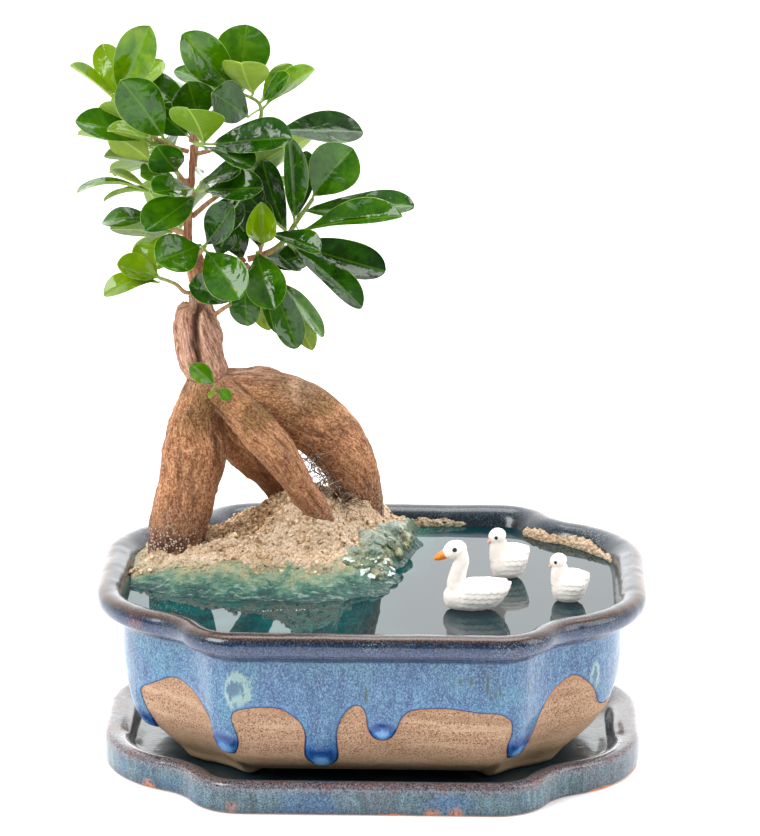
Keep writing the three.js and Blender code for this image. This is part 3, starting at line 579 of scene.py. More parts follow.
def makePotMesh():
    outline = Outline(potShape)
    inner = [(*row, *row) for row in potShape["wall"]]
    rows = [(*row, *foot) for row, foot in zip(potShape["between"], potShape["atFoot"])] + inner

    # fine steps on the outside and the rim, coarse ones where the filling hides the wall
    def weight(p):
        seen = np.where((p[:, 0] < 14) | (p[:, 1] > 12), 1.0, 0.55) * np.where(p[:, 0] > 60, 0.2, 1.0)
        return seen * np.where(np.arange(len(p)) > 0.84 * len(p), 0.3, 1.0)

    profile = evenProfile(rows, potShape["along"], weight)
    last = len(profile) - 1
    insetGap, heightGap = np.gradient(profile[:, 0]), np.gradient(profile[:, 1])
    slope = np.hypot(heightGap, insetGap) + 1e-9
    reach = walked(profile[:, :2])
    rimRow = np.argmin(profile[:, 0])
    foot = potShape["foot"]

    def place(u, v):
        row = np.rint(v * last).astype(int)
        along = outline.at(u, profile[row, 0])[4]
        atFoot = smoothStep(foot["from"] - foot["soft"], foot["from"], along)
        atFoot = atFoot * (1 - smoothStep(foot["to"], foot["to"] + foot["soft"], along))
        inset = mix(profile[row, 0], profile[row, 2], atFoot)
        z = mix(profile[row, 1], profile[row, 3], atFoot)
        x, y, outX, outY, along, signX, signY = outline.at(u, inset)
        s = np.where(signY > 0, along, outline.length / 2 - along)  # measured from the front's middle
        s = np.where(signX > 0, s, -s)
        s = np.where(s < -168, s + outline.length, s)
        outer = row < rimRow
        outside = outer & (z > 10.5)
        glaze, bulb = np.full(len(u), 20.0), np.full(len(u), 3.0)
        glaze[outside], bulb[outside] = glazeDistance(s[outside], z[outside], outline.length)
        glaze = np.where(outer & (z > 60), 20, glaze)
        glaze = np.where(outer & (z <= 10.5), -20, glaze)
        # thick rounded lip of glaze, swelling where it ran low
        relief = potShape["glazeThick"] * smoothStep(-0.5, 0.9, glaze)
        low = smoothStep(47, 34, z) * smoothStep(0, 5.5, glaze)
        relief += np.where(outside, potShape["dripRelief"] * low, 0)
        relief += 0.9 * np.sqrt(np.clip(1 - bulb**2, 0, 1)) * smoothStep(0, 3, glaze)
        relief += 0.25 * cloud(stack(x, y, z * 0.5), 17, 3) * smoothStep(0, 4, glaze)
        relief += 0.1 * cloud(stack(x, y, z), 5, 8)
        relief = np.where(row < 12, 0, relief) / slope[row]
        x, y = x + outX * relief * heightGap[row], y + outY * relief * heightGap[row]
        z = z + relief * insetGap[row]
        ring, dash = np.full(len(u), 9.0), np.zeros(len(u))
        for middle, level, halfWide, halfHigh in potShape["paleRings"]:
            ring = np.minimum(ring, np.hypot((s - middle) / halfWide, (z - level) / halfHigh))
        for middle, level, halfHigh in potShape["darkRuns"]:
            dash = np.maximum(dash, np.exp(-(((s - middle) / 0.8) ** 2) - ((z - level) / halfHigh) ** 4))
        dash *= outer & (z > 20)
        band = reach[row] - reach[rimRow]
        return stack(x, y, z), {"glaze": glaze, "band": band, "ring": ring, "dash": dash, "bulb": bulb}

    return wrapGrid(potShape["around"], last, place)


# Glaze over bare stoneware: blue and curdled where it ran, brown where it broke over the rim.
def makePotFinish():
    material = beginFinish("runGlazeOverClay")
    glaze, band = layer("glaze"), layer("band")
    flow, wide = useGroup(runGroup, Scale=330), useGroup(runGroup, Scale=130)
    specks = useGroup(speckGroup, Scale=900, Amount=0.34)
    fine = useGroup(speckGroup, Scale=1700, Amount=0.4)
    mottle = noise(1500, 3, 0.7, 0.3, at=stretched((1, 1, 0.7)))

    # where a run ends it hangs in a bulb: pale in the middle, cobalt round it
    wobble = plus(layer("bulb"), spread(flow["Curds"], 0.3, 0.7, 0.14, -0.14))
    bulb = ramp(spread(wobble, 0, 1.25), [
        (0.0, 112, 150, 190), (0.3, 92, 138, 186), (0.44, 24, 78, 142), (0.62, 6, 44, 98),
        (0.76, 16, 62, 124), (0.9, 64, 102, 152),
    ])
    ragged = plus(layer("ring"), spread(wide["Curds"], 0.3, 0.7, 0.35, -0.35))
    dash = times(layer("dash"), spread(flow["Curds"], 0.34, 0.5, 1, 0.3))
    blue = ramp(flow["Streaks"], [
        (0.3, 30, 66, 110), (0.46, 46, 88, 132), (0.58, 58, 102, 142), (0.74, 92, 136, 162),
    ])
    blue = coats(blue, [
        (spread(flow["Curds"], 0.52, 0.7, 0.5), 104, 142, 168),
        (spread(flow["Curds"], 0.47, 0.32, 0.6), 26, 58, 100),
        (spread(wide["Curds"], 0.54, 0.66, 0.5), 106, 146, 176),
        (spread(wide["Streaks"], 0.48, 0.38, 0.55), 22, 54, 104),
        (spread(wide["Clouds"], 0.54, 0.66, 0.45), 58, 72, 126),
        (spread(wide["Clouds"], 0.47, 0.36, 0.45), 70, 126, 144),
        (spread(mottle, 0.51, 0.6, 0.6), 120, 156, 178),
        (spread(mottle, 0.49, 0.4, 0.6), 20, 50, 94),
        (times(times(spread(ragged, 0.5, 0.72), spread(ragged, 1.1, 0.85)), 0.7), 150, 174, 160),
        (spread(ragged, 0.62, 0.3, 0.75), 70, 96, 112),
        (spread(dash, 0.05, 0.25, 0.3), 96, 138, 142),
        (spread(dash, 0.25, 0.6, 0.75), 38, 52, 52),
        (spread(wobble, 1.25, 1.0), bulb),
        (times(spread(glaze, 0.7, 1.4), spread(glaze, 3.2, 1.6, 0.35)), 72, 122, 170),
        (spread(glaze, 0.95, 0.35, 0.9), 8, 34, 78),
    ])

    # the rim, by how far a point lies up and over it; the two near-black bands, where the lip and the bulge
    # below it turn under, are painted shade
    rim = ramp(spread(band, -16, 16), [
        (0.0, 62, 98, 148), (0.05, 26, 64, 102), (0.1, 8, 30, 46), (0.17, 12, 40, 64), (0.22, 34, 62, 92),
        (0.27, 30, 52, 80), (0.3, 12, 16, 28), (0.34, 62, 64, 84), (0.4, 74, 80, 108), (0.47, 52, 72, 108),
        (0.53, 20, 48, 80), (0.6, 12, 26, 42), (0.655, 42, 24, 16), (0.7, 30, 22, 20), (0.75, 34, 42, 52),
        (0.86, 40, 50, 60), (1.0, 24, 38, 44),
    ])
    rust = times(spread(band, 2.6, 4), spread(band, 7.6, 5.6))
    rusty = ramp(mottle, [(0.4, 10, 8, 8), (0.52, 52, 28, 14), (0.64, 104, 58, 28)])
    rim = coats(rim, [
        (spread(flow["Clouds"], 0.5, 0.72, 0.5), 76, 78, 92),
        (times(specks["Specks"], 0.55), 24, 26, 34),
        (spread(mottle, 0.54, 0.64, 0.45), 84, 104, 126),
        (spread(mottle, 0.5, 0.4, 0.85), 10, 14, 22),
        (times(fine["Specks"], spread(wide["Clouds"], 0.5, 0.66, 0.6)), 150, 158, 166),
        (times(rust, spread(mottle, 0.4, 0.5, 0.95, 0.35)), rusty),
        (times(nearPoint((-102, -66, 78), 3.5, 3), spread(mottle, 0.44, 0.6, 0.7)), 150, 88, 70),
    ])

    throw = noise(260, 3, 0.6, at=stretched((0.12, 0.12, 1)))
    flush = times(spread(glaze, -1.9, -0.3, 0.6), spread(wide["Clouds"], 0.42, 0.6, 1, 0.1))
    clay = ramp(fine["Grain"], [(0.3, 138, 104, 80), (0.5, 176, 140, 112), (0.7, 204, 172, 144)])
    clay = coats(clay, [
        (spread(wide["Clouds"], 0.45, 0.7, 0.5), 160, 130, 100),
        (spread(mottle, 0.48, 0.4, 0.6), 104, 70, 50),
        (spread(mottle, 0.53, 0.62, 0.4), 206, 178, 150),
        (times(specks["Specks"], 0.8), 92, 60, 44),
        (times(fine["Specks"], 0.55), 120, 84, 62),
        # painted light: the bare clay lighter towards the bottom
        (spread(height(), 0.026, 0.012, 0.65), 226, 192, 150),
        (spread(throw, 0.52, 0.66, 0.4), 134, 104, 76),
        (spread(throw, 0.46, 0.34, 0.35), 206, 178, 148),
        (flush, 186, 118, 74),
    ])

    cover = spread(glaze, -0.2, 0.15)
    glazed = blend(spread(band, -15.6, -13.6), blue, rim)
    tooth = times(less(1, cover), less(fine["Grain"], specks["Specks"]))
    relief = plus(tooth, times(flow["Curds"], times(cover, 0.3)))
    return endFinish(
        material, blend(cover, clay, glazed), spread(cover, 0, 1, 0.2, 0.82), (relief, 0.35, 0.8),
        {"Coat Weight": times(cover, 0.3), "Coat Roughness": 0.06, "Specular IOR Level": 0.4},
    )


makePiece("glazed_pot", [makePotMesh()], [makePotFinish()], ["pot"])
print("pot thrown and glazed")

trayShape = {
    "halfX": 119, "halfY": 90,
    "rows": [
        (92, 1.2), (60, 1.2), (22, 1.2), (10, 1.1), (8, 0.3), (6.4, 0), (3, 0), (1.4, 0.3), (0.5, 1.4),
        (0.1, 4), (0, 8), (0, 11.6), (0.5, 13.4), (1.9, 14.4), (4, 14.5), (6.6, 13.9), (9, 12.7),
        (11, 10.9), (12.4, 8.9), (14.4, 6.7), (17.6, 5.65), (24, 5.6), (40, 5.6), (70, 5.6), (92, 5.6),
    ],
    "around": 720, "along": 74,
    "chips": [  # place and size
        ((-96, -58, 1), 3), ((-58, -86, 4), 3), ((28, -88, 0), 3.4), ((38, -88, 1), 3), ((94, -67, 1), 3),
        ((-90, 62, 2), 4), ((60, 88, 0), 4), ((112, 20, 1), 4),
    ],
}


def makeTrayMesh():
    outline = Outline(trayShape)
    profile = evenProfile(trayShape["rows"], trayShape["along"], lambda p: np.where(p[:, 0] < 19, 1.0, 0.12))
    last = len(profile) - 1
    reach = walked(profile)
    lipRow = np.argmin(np.abs(profile[:, 1] - 14.5) + np.where(profile[:, 0] > 8, 9, 0))

    def place(u, v):
        row = np.rint(v * last).astype(int)
        inset, z = profile[row].T
        x, y, outX, outY, *_ = outline.at(u, inset)
        spots = stack(x, y, z)
        wobble = 0.3 * cloud(spots, 24, 4) + 0.12 * cloud(spots, 7, 9)
        inward = np.where((inset < 19) & (z > 0.5), 0.35 + wobble, 0) * smoothStep(0.5, 3, z)
        sunk = np.where((inset > 1.2) & (inset < 15) & (z > 4), 0.12 + 0.3 * np.abs(wobble), 0)
        return stack(x - outX * inward, y - outY * inward, z - sunk), {"band": reach[row] - reach[lipRow]}

    return wrapGrid(trayShape["around"], last, place)


def makeTrayFinish():
    material = beginFinish("trayGlaze")
    band, up = layer("band"), height()
    flow, wide = useGroup(runGroup, Scale=300), useGroup(runGroup, Scale=90)
    specks = useGroup(speckGroup, Scale=900, Amount=0.36)
    fine = useGroup(speckGroup, Scale=1700, Amount=0.4)
    mottle = noise(1300, 3, 0.65, 0.3)
    wall = ramp(flow["Streaks"], [
        (0.3, 30, 50, 62), (0.46, 58, 88, 100), (0.58, 80, 114, 130), (0.72, 124, 150, 158),
    ])
    wall = coats(wall, [
        (spread(flow["Curds"], 0.52, 0.7, 0.6), 108, 136, 146),
        (spread(wide["Clouds"], 0.5, 0.68, 0.75), 92, 82, 94),
        (spread(wide["Clouds"], 0.47, 0.36, 0.75), 42, 92, 144),
        (spread(up, 0.004, 0, 0.6), 44, 50, 56),
        (times(specks["Specks"], 0.6), 40, 34, 40),
        (times(fine["Specks"], 0.3), 170, 178, 176),
        (spread(mottle, 0.53, 0.64, 0.5), 116, 142, 150),
        (spread(mottle, 0.48, 0.38, 0.75), 24, 36, 44),
    ])
    lip = ramp(spread(band, -9, 9), [
        (0.0, 80, 96, 112), (0.2, 92, 96, 108), (0.34, 88, 52, 44), (0.42, 76, 70, 76), (0.6, 82, 88, 98),
        (1.0, 48, 66, 74),
    ])
    lip = coats(lip, [
        (spread(flow["Curds"], 0.48, 0.6, 0.7), 120, 120, 128),
        (spread(mottle, 0.53, 0.62, 0.6), 128, 132, 144),
        (spread(mottle, 0.49, 0.41, 0.9), 30, 22, 24),
        (spread(flow["Clouds"], 0.52, 0.66, 0.5), 112, 66, 60),
        (times(fine["Specks"], 0.3), 176, 178, 184),
    ])
    floor = ramp(wide["Clouds"], [(0.3, 14, 34, 42), (0.6, 30, 56, 66), (0.8, 58, 76, 84)])
    # chips and bare clay along the foot
    chip = less(wide["Clouds"], spread(up, 0, 0.005, 0.4))
    bare = times(spread(chip, 0.5, 0.54), spread(band, 0, -2))
    for spot, size in trayShape["chips"]:
        knock = times(nearPoint(spot, size, 1.5), spread(flow["Curds"], 0.42, 0.5))
        bare = calc("MAXIMUM", bare, knock)
    bare = calc("MAXIMUM", bare, spread(up, 0.0005, 0.0002))
    clay = ramp(fine["Grain"], [(0.35, 176, 92, 52), (0.65, 220, 150, 104)])
    base = coats(wall, [(spread(band, -8.5, -5), lip), (spread(band, 6, 12), floor), (bare, clay)])
    relief = plus(wide["Streaks"], times(flow["Curds"], 0.12))
    return endFinish(
        material, base, spread(bare, 0, 1, 0.8, 0.16), (relief, 0.5, 0.6),
        {"Coat Weight": times(less(1, bare), 0.4), "Coat Roughness": 0.05, "Specular IOR Level": 0.4},
    )


makePiece("drip_dish", [makeTrayMesh()], [makeTrayFinish()], ["drip_tray"])
print("tray made")


# Roots and trunk: rows of x, y, z and radius.
trunkShape = {
    "roots": {
        "stump": [
            (-80.6, 35, 193, 7.6), (-80.2, 35, 186, 8.8), (-78.6, 35, 174, 10.2), (-75.6, 35, 163, 9),
            (-74.6, 34.5, 154, 9.6), (-76, 33, 147, 8),
        ],
        "left": [
            (-75, 34, 160, 8), (-79, 32, 147, 10.2), (-80.6, 30, 137.5, 12.6), (-80.8, 28, 128.6, 14.6),
            (-83.6, 25, 115.5, 13.8), (-86.4, 22, 102.3, 13.4), (-88.4, 20, 91, 12.8), (-89, 19, 76, 11.6),
            (-89, 19, 64, 10),
        ],
        "front": [
            (-71, 33, 156, 7.4), (-63, 25, 151, 7.6), (-56, 19.5, 146, 8.3), (-49, 16, 138.5, 8.8),
            (-41.5, 15, 129.5, 8.4), (-33.5, 15.5, 116.5, 7), (-27, 17, 106, 5.9), (-23, 19.5, 97.5, 5.1),
            (-21.5, 21.5, 87, 4.4), (-20.5, 23, 72, 3.6), (-20, 23, 64, 2.6),
        ],
        "arch": [
            (-73, 35.5, 155, 8), (-62, 38, 154, 10.6), (-50.5, 42, 150.6, 12.4), (-39.5, 46, 144.8, 13.8),
            (-29.5, 49, 137.6, 14.3), (-20.6, 52, 129, 13.7), (-14.2, 54, 119, 12.6),
            (-10.2, 56, 108.4, 11.6), (-8, 58, 98, 10.8), (-6.6, 59, 82, 9.8), (-6, 59.5, 66, 8),
        ],
        "back": [
            (-72, 38, 146, 8), (-67, 43.5, 134, 8.4), (-60, 51, 122, 8), (-52, 60, 110, 7.2),
            (-44, 66.5, 98, 6.4), (-40, 69, 84, 5.6), (-38, 69, 66, 4.6),
        ],
    },
    "stems": {
        "stem": [
            (-79, 35, 188, 5.4), (-77.4, 35, 196, 4.3), (-79.6, 35, 205, 3.6), (-82.6, 35, 217, 2.6),
            (-83.4, 35, 229, 1.9), (-82.4, 35, 241, 1.8), (-81.3, 35, 252, 1.6), (-81, 35, 261, 1.4),
            (-81, 35, 267, 1.3),
        ],
        "strand": [
            (-76, 34.5, 192, 3), (-77, 35, 201, 2.6), (-77.5, 35.5, 211, 2.5), (-79.6, 35.5, 220, 1.6),
        ],
        "branch": [(-82, 35.5, 208.5, 1.9), (-74, 37, 211, 1.9), (-66, 40, 212.5, 1.7), (-58, 42, 213, 1.6)],
    },
    "voxel": 0.85, "barkDepth": 0.34, "stumpTop": 160,
    "groove": {"x": -78.6, "wide": 1.7, "deep": 3.0, "from": 158, "to": 197},
}


def makeTrunkMesh():
    limbs = {**trunkShape["roots"], **trunkShape["stems"]}
    mesh = meltMeshes("bark", [limbMesh(rows, 40, 6) for rows in limbs.values()], trunkShape["voxel"], 3)
    points, normals = readRows(mesh, "co") / mm, readRows(mesh, "normal")
    # where each point lies on its limb: round it and along it
    best, thin = np.full(len(points), 1e9), np.zeros(len(points))
    fibre = np.zeros((len(points), 3))
    for number, (name, rows) in enumerate(limbs.items()):
        fine = smoothRows(rows, 8)
        middles, alongWay, sides, others = limbFrames(fine)
        reach = walked(middles)
        near = np.argmin(((points[:, None, :] - middles[None]) ** 2).sum(2), axis=1)
        away = points - middles[near]
        depth = np.linalg.norm(away, axis=1) - fine[near, 3]
        angle = np.arctan2((away * others[near]).sum(1), (away * sides[near]).sum(1)) + 0.012 * reach[near]
        radius = 8 if name in trunkShape["roots"] else 3
        run = reach[near] + (away * alongWay[near]).sum(1) + 300 * number
        here = stack(radius * np.cos(angle), radius * np.sin(angle), run)
        mine = depth < best
        best[mine], fibre[mine], thin[mine] = depth[mine], here[mine], name in trunkShape["stems"]
    z = points[:, 2]
    rugged = smoothStep(trunkShape["stumpTop"] - 6, trunkShape["stumpTop"] + 8, z) * (1 - 0.55 * thin)
    ridges = roughCloud(fibre * (1, 1, 0.24), 2.2, 3, 2)
    warts = np.maximum(0, cloud(points, 2.6, 5) - 0.35)
    lumps = cloud(points, 15, 6) * 0.8 + cloud(points, 6, 7) * 0.4
    flakes = roughCloud(fibre * (1, 1, 0.4), 3.4, 3, 12)
    lift = trunkShape["barkDepth"] * ridges + 0.8 * warts + lumps * (1 - 0.7 * thin)
    lift += rugged * (0.9 * flakes + 0.6 * np.abs(flakes))
    lift = lift * np.where(z < 205, 1, 0.45)
    groove = trunkShape["groove"]
    off = points[:, 0] - groove["x"] - 1.2 * cloud(points * (0, 0, 1), 9, 3)
    cut = np.exp(-((off / groove["wide"]) ** 2))
    cut *= smoothStep(groove["from"], groove["from"] + 8, z) * smoothStep(groove["to"], groove["to"] - 3, z)
    cut *= normals[:, 1] < -0.2
    lift -= groove["deep"] * cut
    writePoints(mesh, (points + normals * lift[:, None]) * mm)
    # how deep a point sinks among the ridges and into the groove, which the bark darkens as painted shade
    hollow = -ridges - 0.6 * flakes * rugged + 3 * cut
    setLayers(mesh, {"fibre": fibre, "hollow": hollow, "rugged": rugged, "stem": thin})
    return mesh


rootlets = {"count": 110, "seed": 8, "from": (-34, 38, 127), "to": (-13, 36, 101), "radius": 0.24}


# Hair roots that hang between the front root and the arched one.
def makeRootlets():
    draw = np.random.default_rng(rootlets["seed"])
    start, end = np.array(rootlets["from"], float), np.array(rootlets["to"], float)
    tubes = []
    for _ in range(rootlets["count"]):
        at = mix(start, end, draw.uniform(0, 1) ** 0.7) + draw.uniform(-1, 1, 3) * (3, 8, 3)
        way = np.array([draw.uniform(-0.8, 0.8), draw.uniform(-0.8, 0.8), draw.uniform(-1, 0.5)])
        rows = []
        for step in range(7):
            rows.append((*at, rootlets["radius"] * (1 - 0.1 * step)))
            way = way + draw.uniform(-0.8, 0.8, 3)
            at = at + 1.9 * way / np.linalg.norm(way)
        tubes.append(limbMesh(rows, 4, 3))
    return tubes


def makeBark():
    material = beginFinish("figBark")
    fibre, up = layer("fibre", "Vector"), height()
    threads = noise(1.1, 5, 0.7, 0.4, at=stretched((1, 1, 0.14), fibre))
    tiny = noise(1.9, 3, 0.8, 0.2, at=stretched((1, 1, 0.4), fibre))
    across = noise(1.5, 3, 0.7, 0.3, at=stretched((0.3, 0.3, 1), fibre))
    bands = noise(0.55, 4, 0.6, at=stretched((0.35, 0.35, 1), fibre))
    patches = noise(55, 4, 0.6, 0.8)
    specks = useGroup(speckGroup, stretched((1, 1, 0.5), fibre), Scale=1.1, Amount=0.3)
    tooth = useGroup(speckGroup, Scale=1050, Amount=0.46)
    fork = times(spread(up, 0.132, 0.146), spread(up, 0.178, 0.162))
    moss = ramp(tiny, [(0.42, 84, 58, 34), (0.6, 158, 122, 70)])
    flaky = ramp(threads, [(0.32, 96, 54, 40), (0.46, 178, 124, 98), (0.6, 232, 190, 164)])
    flaky = coats(flaky, [
        (spread(tiny, 0.52, 0.62, 0.5), 214, 172, 148),
        (spread(tiny, 0.47, 0.38, 0.5), 104, 60, 46),
    ])
    young = ramp(threads, [(0.34, 120, 74, 50), (0.52, 186, 124, 90), (0.66, 214, 160, 124)])
    # dark and damp near the sand, with grains stuck to it
    foot = spread(up, 0.11, 0.09)
    damp = ramp(tiny, [(0.4, 44, 30, 28), (0.6, 116, 76, 58)])
    bark = ramp(threads, [
        (0.3, 108, 62, 38), (0.43, 166, 106, 70), (0.55, 202, 142, 100), (0.7, 234, 180, 134),
    ])
    bark = coats(bark, [
        (spread(patches, 0.52, 0.72, 0.55), 148, 84, 54),
        (spread(patches, 0.45, 0.3, 0.5), 196, 146, 100),
        (spread(bands, 0.55, 0.72, 0.4), 104, 66, 44),
        (spread(tiny, 0.52, 0.6, 0.6), 246, 196, 146),
        (spread(tiny, 0.47, 0.39, 0.6), 104, 56, 34),
        (spread(across, 0.57, 0.64, 0.45), 118, 66, 42),
        # painted shade: the lower back root darker
        (times(nearPoint((-46, 66, 112), 16, 12), 0.55), 70, 42, 32),
        (times(nearPoint((-31, 35, 159), 9, 6), spread(tiny, 0.4, 0.55, 0.8, 0.2)), 224, 198, 172),
        (times(fork, spread(patches, 0.4, 0.56, 0.75, 0.1)), moss),
        (layer("rugged"), flaky),
        (layer("stem"), young),
        # painted shade: darker in the sunk ridges and the groove
        (spread(layer("hollow"), 0.25, 1.5, 0.8), 64, 36, 24),
        (times(specks["Specks"], 0.5), 84, 50, 34),
        (times(foot, spread(patches, 0.35, 0.55, 1, 0.35)), damp),
        (times(tooth["Specks"], times(foot, spread(patches, 0.44, 0.54))), 232, 210, 186),
    ])
    relief = less(plus(threads, tiny), times(across, 0.7))
    rough = spread(threads, 0.3, 0.7, 0.62, 0.85)
    return endFinish(material, bark, rough, (relief, 1.0, 1.0), {"Specular IOR Level": 0.3})


makePiece("fig_trunk", [makeTrunkMesh()], [makeBark()], ["trunk"])
hairFinish = plainFinish("hairRoot", 300, 2, [(0.4, 70, 50, 38), (0.62, 190, 170, 150)], 0.8)
makePiece("hair_roots", makeRootlets(), [hairFinish], ())
print("trunk and roots grown")


# Sand bank, resin pool and the resin that surged over the bank's foot.
bankShape = {
    "shore": [
        (-118, 8), (-104, 1), (-90, 3), (-76, 0), (-60, -3), (-44, 0), (-30, -3), (-18, 2), (-9, 12),
        (-5, 24), (2, 38), (8, 52), (10, 66), (14, 80),
    ],
    "back": [(14, 100), (-20, 104), (-60, 104), (-100, 100), (-126, 80), (-130, 50), (-128, 24)],
    "middle": (-50, 40), "soilTop": 61, "low": 81, "wallInset": 12.3, "atWall": 78.4,
    "heaps": [  # x, y, height, spread
        (-26, 25, 19.5, 15), (-18, 12, 6, 12), (-88, 16, 6, 20), (-95, 9, 2.5, 10), (-47, 14, 5, 12),
        (-60, 34, 4, 22), (-5, 57, 13, 15), (-36, 60, 17, 15), (-62, 4, 4, 12), (-35, 27, 4, 6),
        (-2, 44, 5, 7),
    ],
    "surge": [  # reach over the water and height of the crest, at each point of the shore
        (12, 4), (16, 5), (20, 8), (24, 10), (26, 11), (27, 11), (27, 11), (27, 11), (24, 12), (17, 14),
        (13, 15), (12, 12), (9, 8), (7, 5),
    ],
    "around": 560, "grains": 3000, "seed": 3, "underResin": 8,
}
poolShape = {"top": 76, "bottom": 61.35, "gap": 0.35}


def bankHeight(x, y):
    total = bankShape["low"] + 0.9 * np.sin(0.31 * x + 0.5) * np.sin(0.37 * y)
    for middleX, middleY, high, wide in bankShape["heaps"]:
        total = total + high * np.exp(-(((x - middleX) / wide) ** 2 + ((y - middleY) / wide) ** 2) / 2)
    return total


# How far a closed line lies from the bank's middle in each direction.
def reachOf(line, angles):
    middle = np.array(bankShape["middle"], float)
    a = np.array(line, float) - middle
    b = np.roll(a, -1, axis=0)
    found = np.full(len(angles), 1e9)
    way = stack(np.cos(angles), np.sin(angles))
    for (ax, ay), (bx, by) in zip(a, b):
        ex, ey = bx - ax, by - ay
        cross = way[:, 0] * ey - way[:, 1] * ex
        cross = np.where(np.abs(cross) < 1e-9, 1e-9, cross)
        distance = (ax * ey - ay * ex) / cross
        share = (ax * way[:, 1] - ay * way[:, 0]) / cross
        hit = (distance > 0) & (share >= -1e-6) & (share <= 1 + 1e-6)
        found = np.where(hit & (distance < found), distance, found)
    return found


def insideWall(angles, inset):
    u = np.arange(0, potShape["around"], 2) / potShape["around"]
    x, y, *_ = Outline(potShape).at(u, np.full(len(u), float(inset)))
    return reachOf(stack(x, y), angles)


def bankReach(angles):
    return reachOf(np.vstack([smoothRows(bankShape["shore"], 6), bankShape["back"]]), angles)


# The points at a distance from the bank's middle in each direction.
def fromMiddle(angles, away):
    return bankShape["middle"][0] + away * np.cos(angles), bankShape["middle"][1] + away * np.sin(angles)


# Share of the way along the shore, 0 to 13, for a direction from the bank's middle.
def shoreShare(angles):
    middle = np.array(bankShape["middle"], float)
    shore = smoothRows(bankShape["shore"], 6) - middle
    turns = np.unwrap(np.arctan2(shore[:, 1], shore[:, 0]))
    places = np.linspace(0, len(bankShape["shore"]) - 1, len(shore))
    wrapped = turns[0] + (angles - turns[0]) % (2 * math.pi)
    share = np.interp(wrapped, turns, places)
    return np.where(wrapped > turns[-1], -1, share), turns[0], turns[-1]


# How far the surge reaches and how high its crest is, at a share of the way along the shore.
def surgeAt(share):
    rows = np.array(bankShape["surge"], float)
    return (np.interp(share, np.arange(len(rows)), column) for column in rows.T)


def makeBankMesh():
    rows = [(r, "top") for r in np.linspace(0.02, 1, 100)]
    rows += [(1.02, "skirt"), (0.98, "low"), (0.5, "low"), (0.03, "low")]
    radii = np.array([r for r, _ in rows])
    kinds = np.array([kind for _, kind in rows])
    last = len(rows) - 1

    def place(u, v):
        row = np.rint(v * last).astype(int)
        r, kind = radii[row], kinds[row]
        angles = 2 * math.pi * u
        wall = insideWall(angles, bankShape["wallInset"])
        plan = bankReach(angles)
        atShore = plan < wall + 3
        edge = np.minimum(wall, plan + np.where(atShore, bankShape["underResin"], 0))
        reach, crest = surgeAt(shoreShare(angles)[0])
        away = edge * r
        x, y = fromMiddle(angles, away)
        z = bankHeight(x, y)
        spots = stack(x, y, 0 * x)
        past = np.maximum(0, away - plan)
        shoreZ = poolShape["top"] + crest * (1 - np.clip(past / reach, 0, 1)) ** 1.5 - 0.6 - 0.2 * past
        down = smoothStep(13, 1, np.minimum(plan, wall) - away)
        z = mix(z, np.where(atShore, shoreZ, bankShape["atWall"]), down)
        lump = 1.7 * roughCloud(spots, 12, 2, 3) + 1.1 * cloud(spots, 3.8, 11) + 0.75 * cloud(spots, 1.9, 14)
        lump += 2.4 * np.maximum(0, cloud(spots, 6, 21) - 0.1)
        lump -= 1.6 * np.maximum(0, cloud(spots, 5, 23) - 0.25)
        # scooped trough between the left root and the heap under the front root
        lump -= 4.2 * np.exp(-(((x + 56) / 20) ** 2 + ((y - 22 - 0.25 * (x + 56)) / 6.5) ** 2))
        z = z + lump * np.where(atShore, smoothStep(edge, edge - 3, away), smoothStep(1.0, 0.9, r))
        z = np.where(kind == "skirt", np.minimum(z, poolShape["top"] - 2), z)
        z = np.where(kind == "low", bankShape["soilTop"] + poolShape["gap"], z)
        return stack(x, y, z), {"lump": lump, "past": np.where(atShore, away - plan, -9)}

    return wrapGrid(bankShape["around"], last, place)


# Single grains that lie on the sand.
def makeGrains(bank):
    draw = np.random.default_rng(bankShape["seed"])
    points, normals = readRows(bank, "co"), readRows(bank, "normal")
    top = np.flatnonzero((normals[:, 2] > 0.3) & (points[:, 2] > 0.079))
    balls = []
    for at in draw.choice(top, bankShape["grains"]):
        size = (0.35 + 0.5 * draw.uniform() + 1.3 * draw.uniform() ** 8) * mm
        turn = turned(draw.uniform(0, 6.3), "X") @ turned(draw.uniform(0, 6.3))
        halves = (size, size * draw.uniform(0.6, 1), size * draw.uniform(0.5, 0.9))
        jitter = draw.uniform(-0.6, 0.6, 3) * mm * (1, 1, 0)
        balls.append(ballAt(points[at] + jitter + (0, 0, size * 0.3), turn, halves))
    return strewBalls("grains", balls)


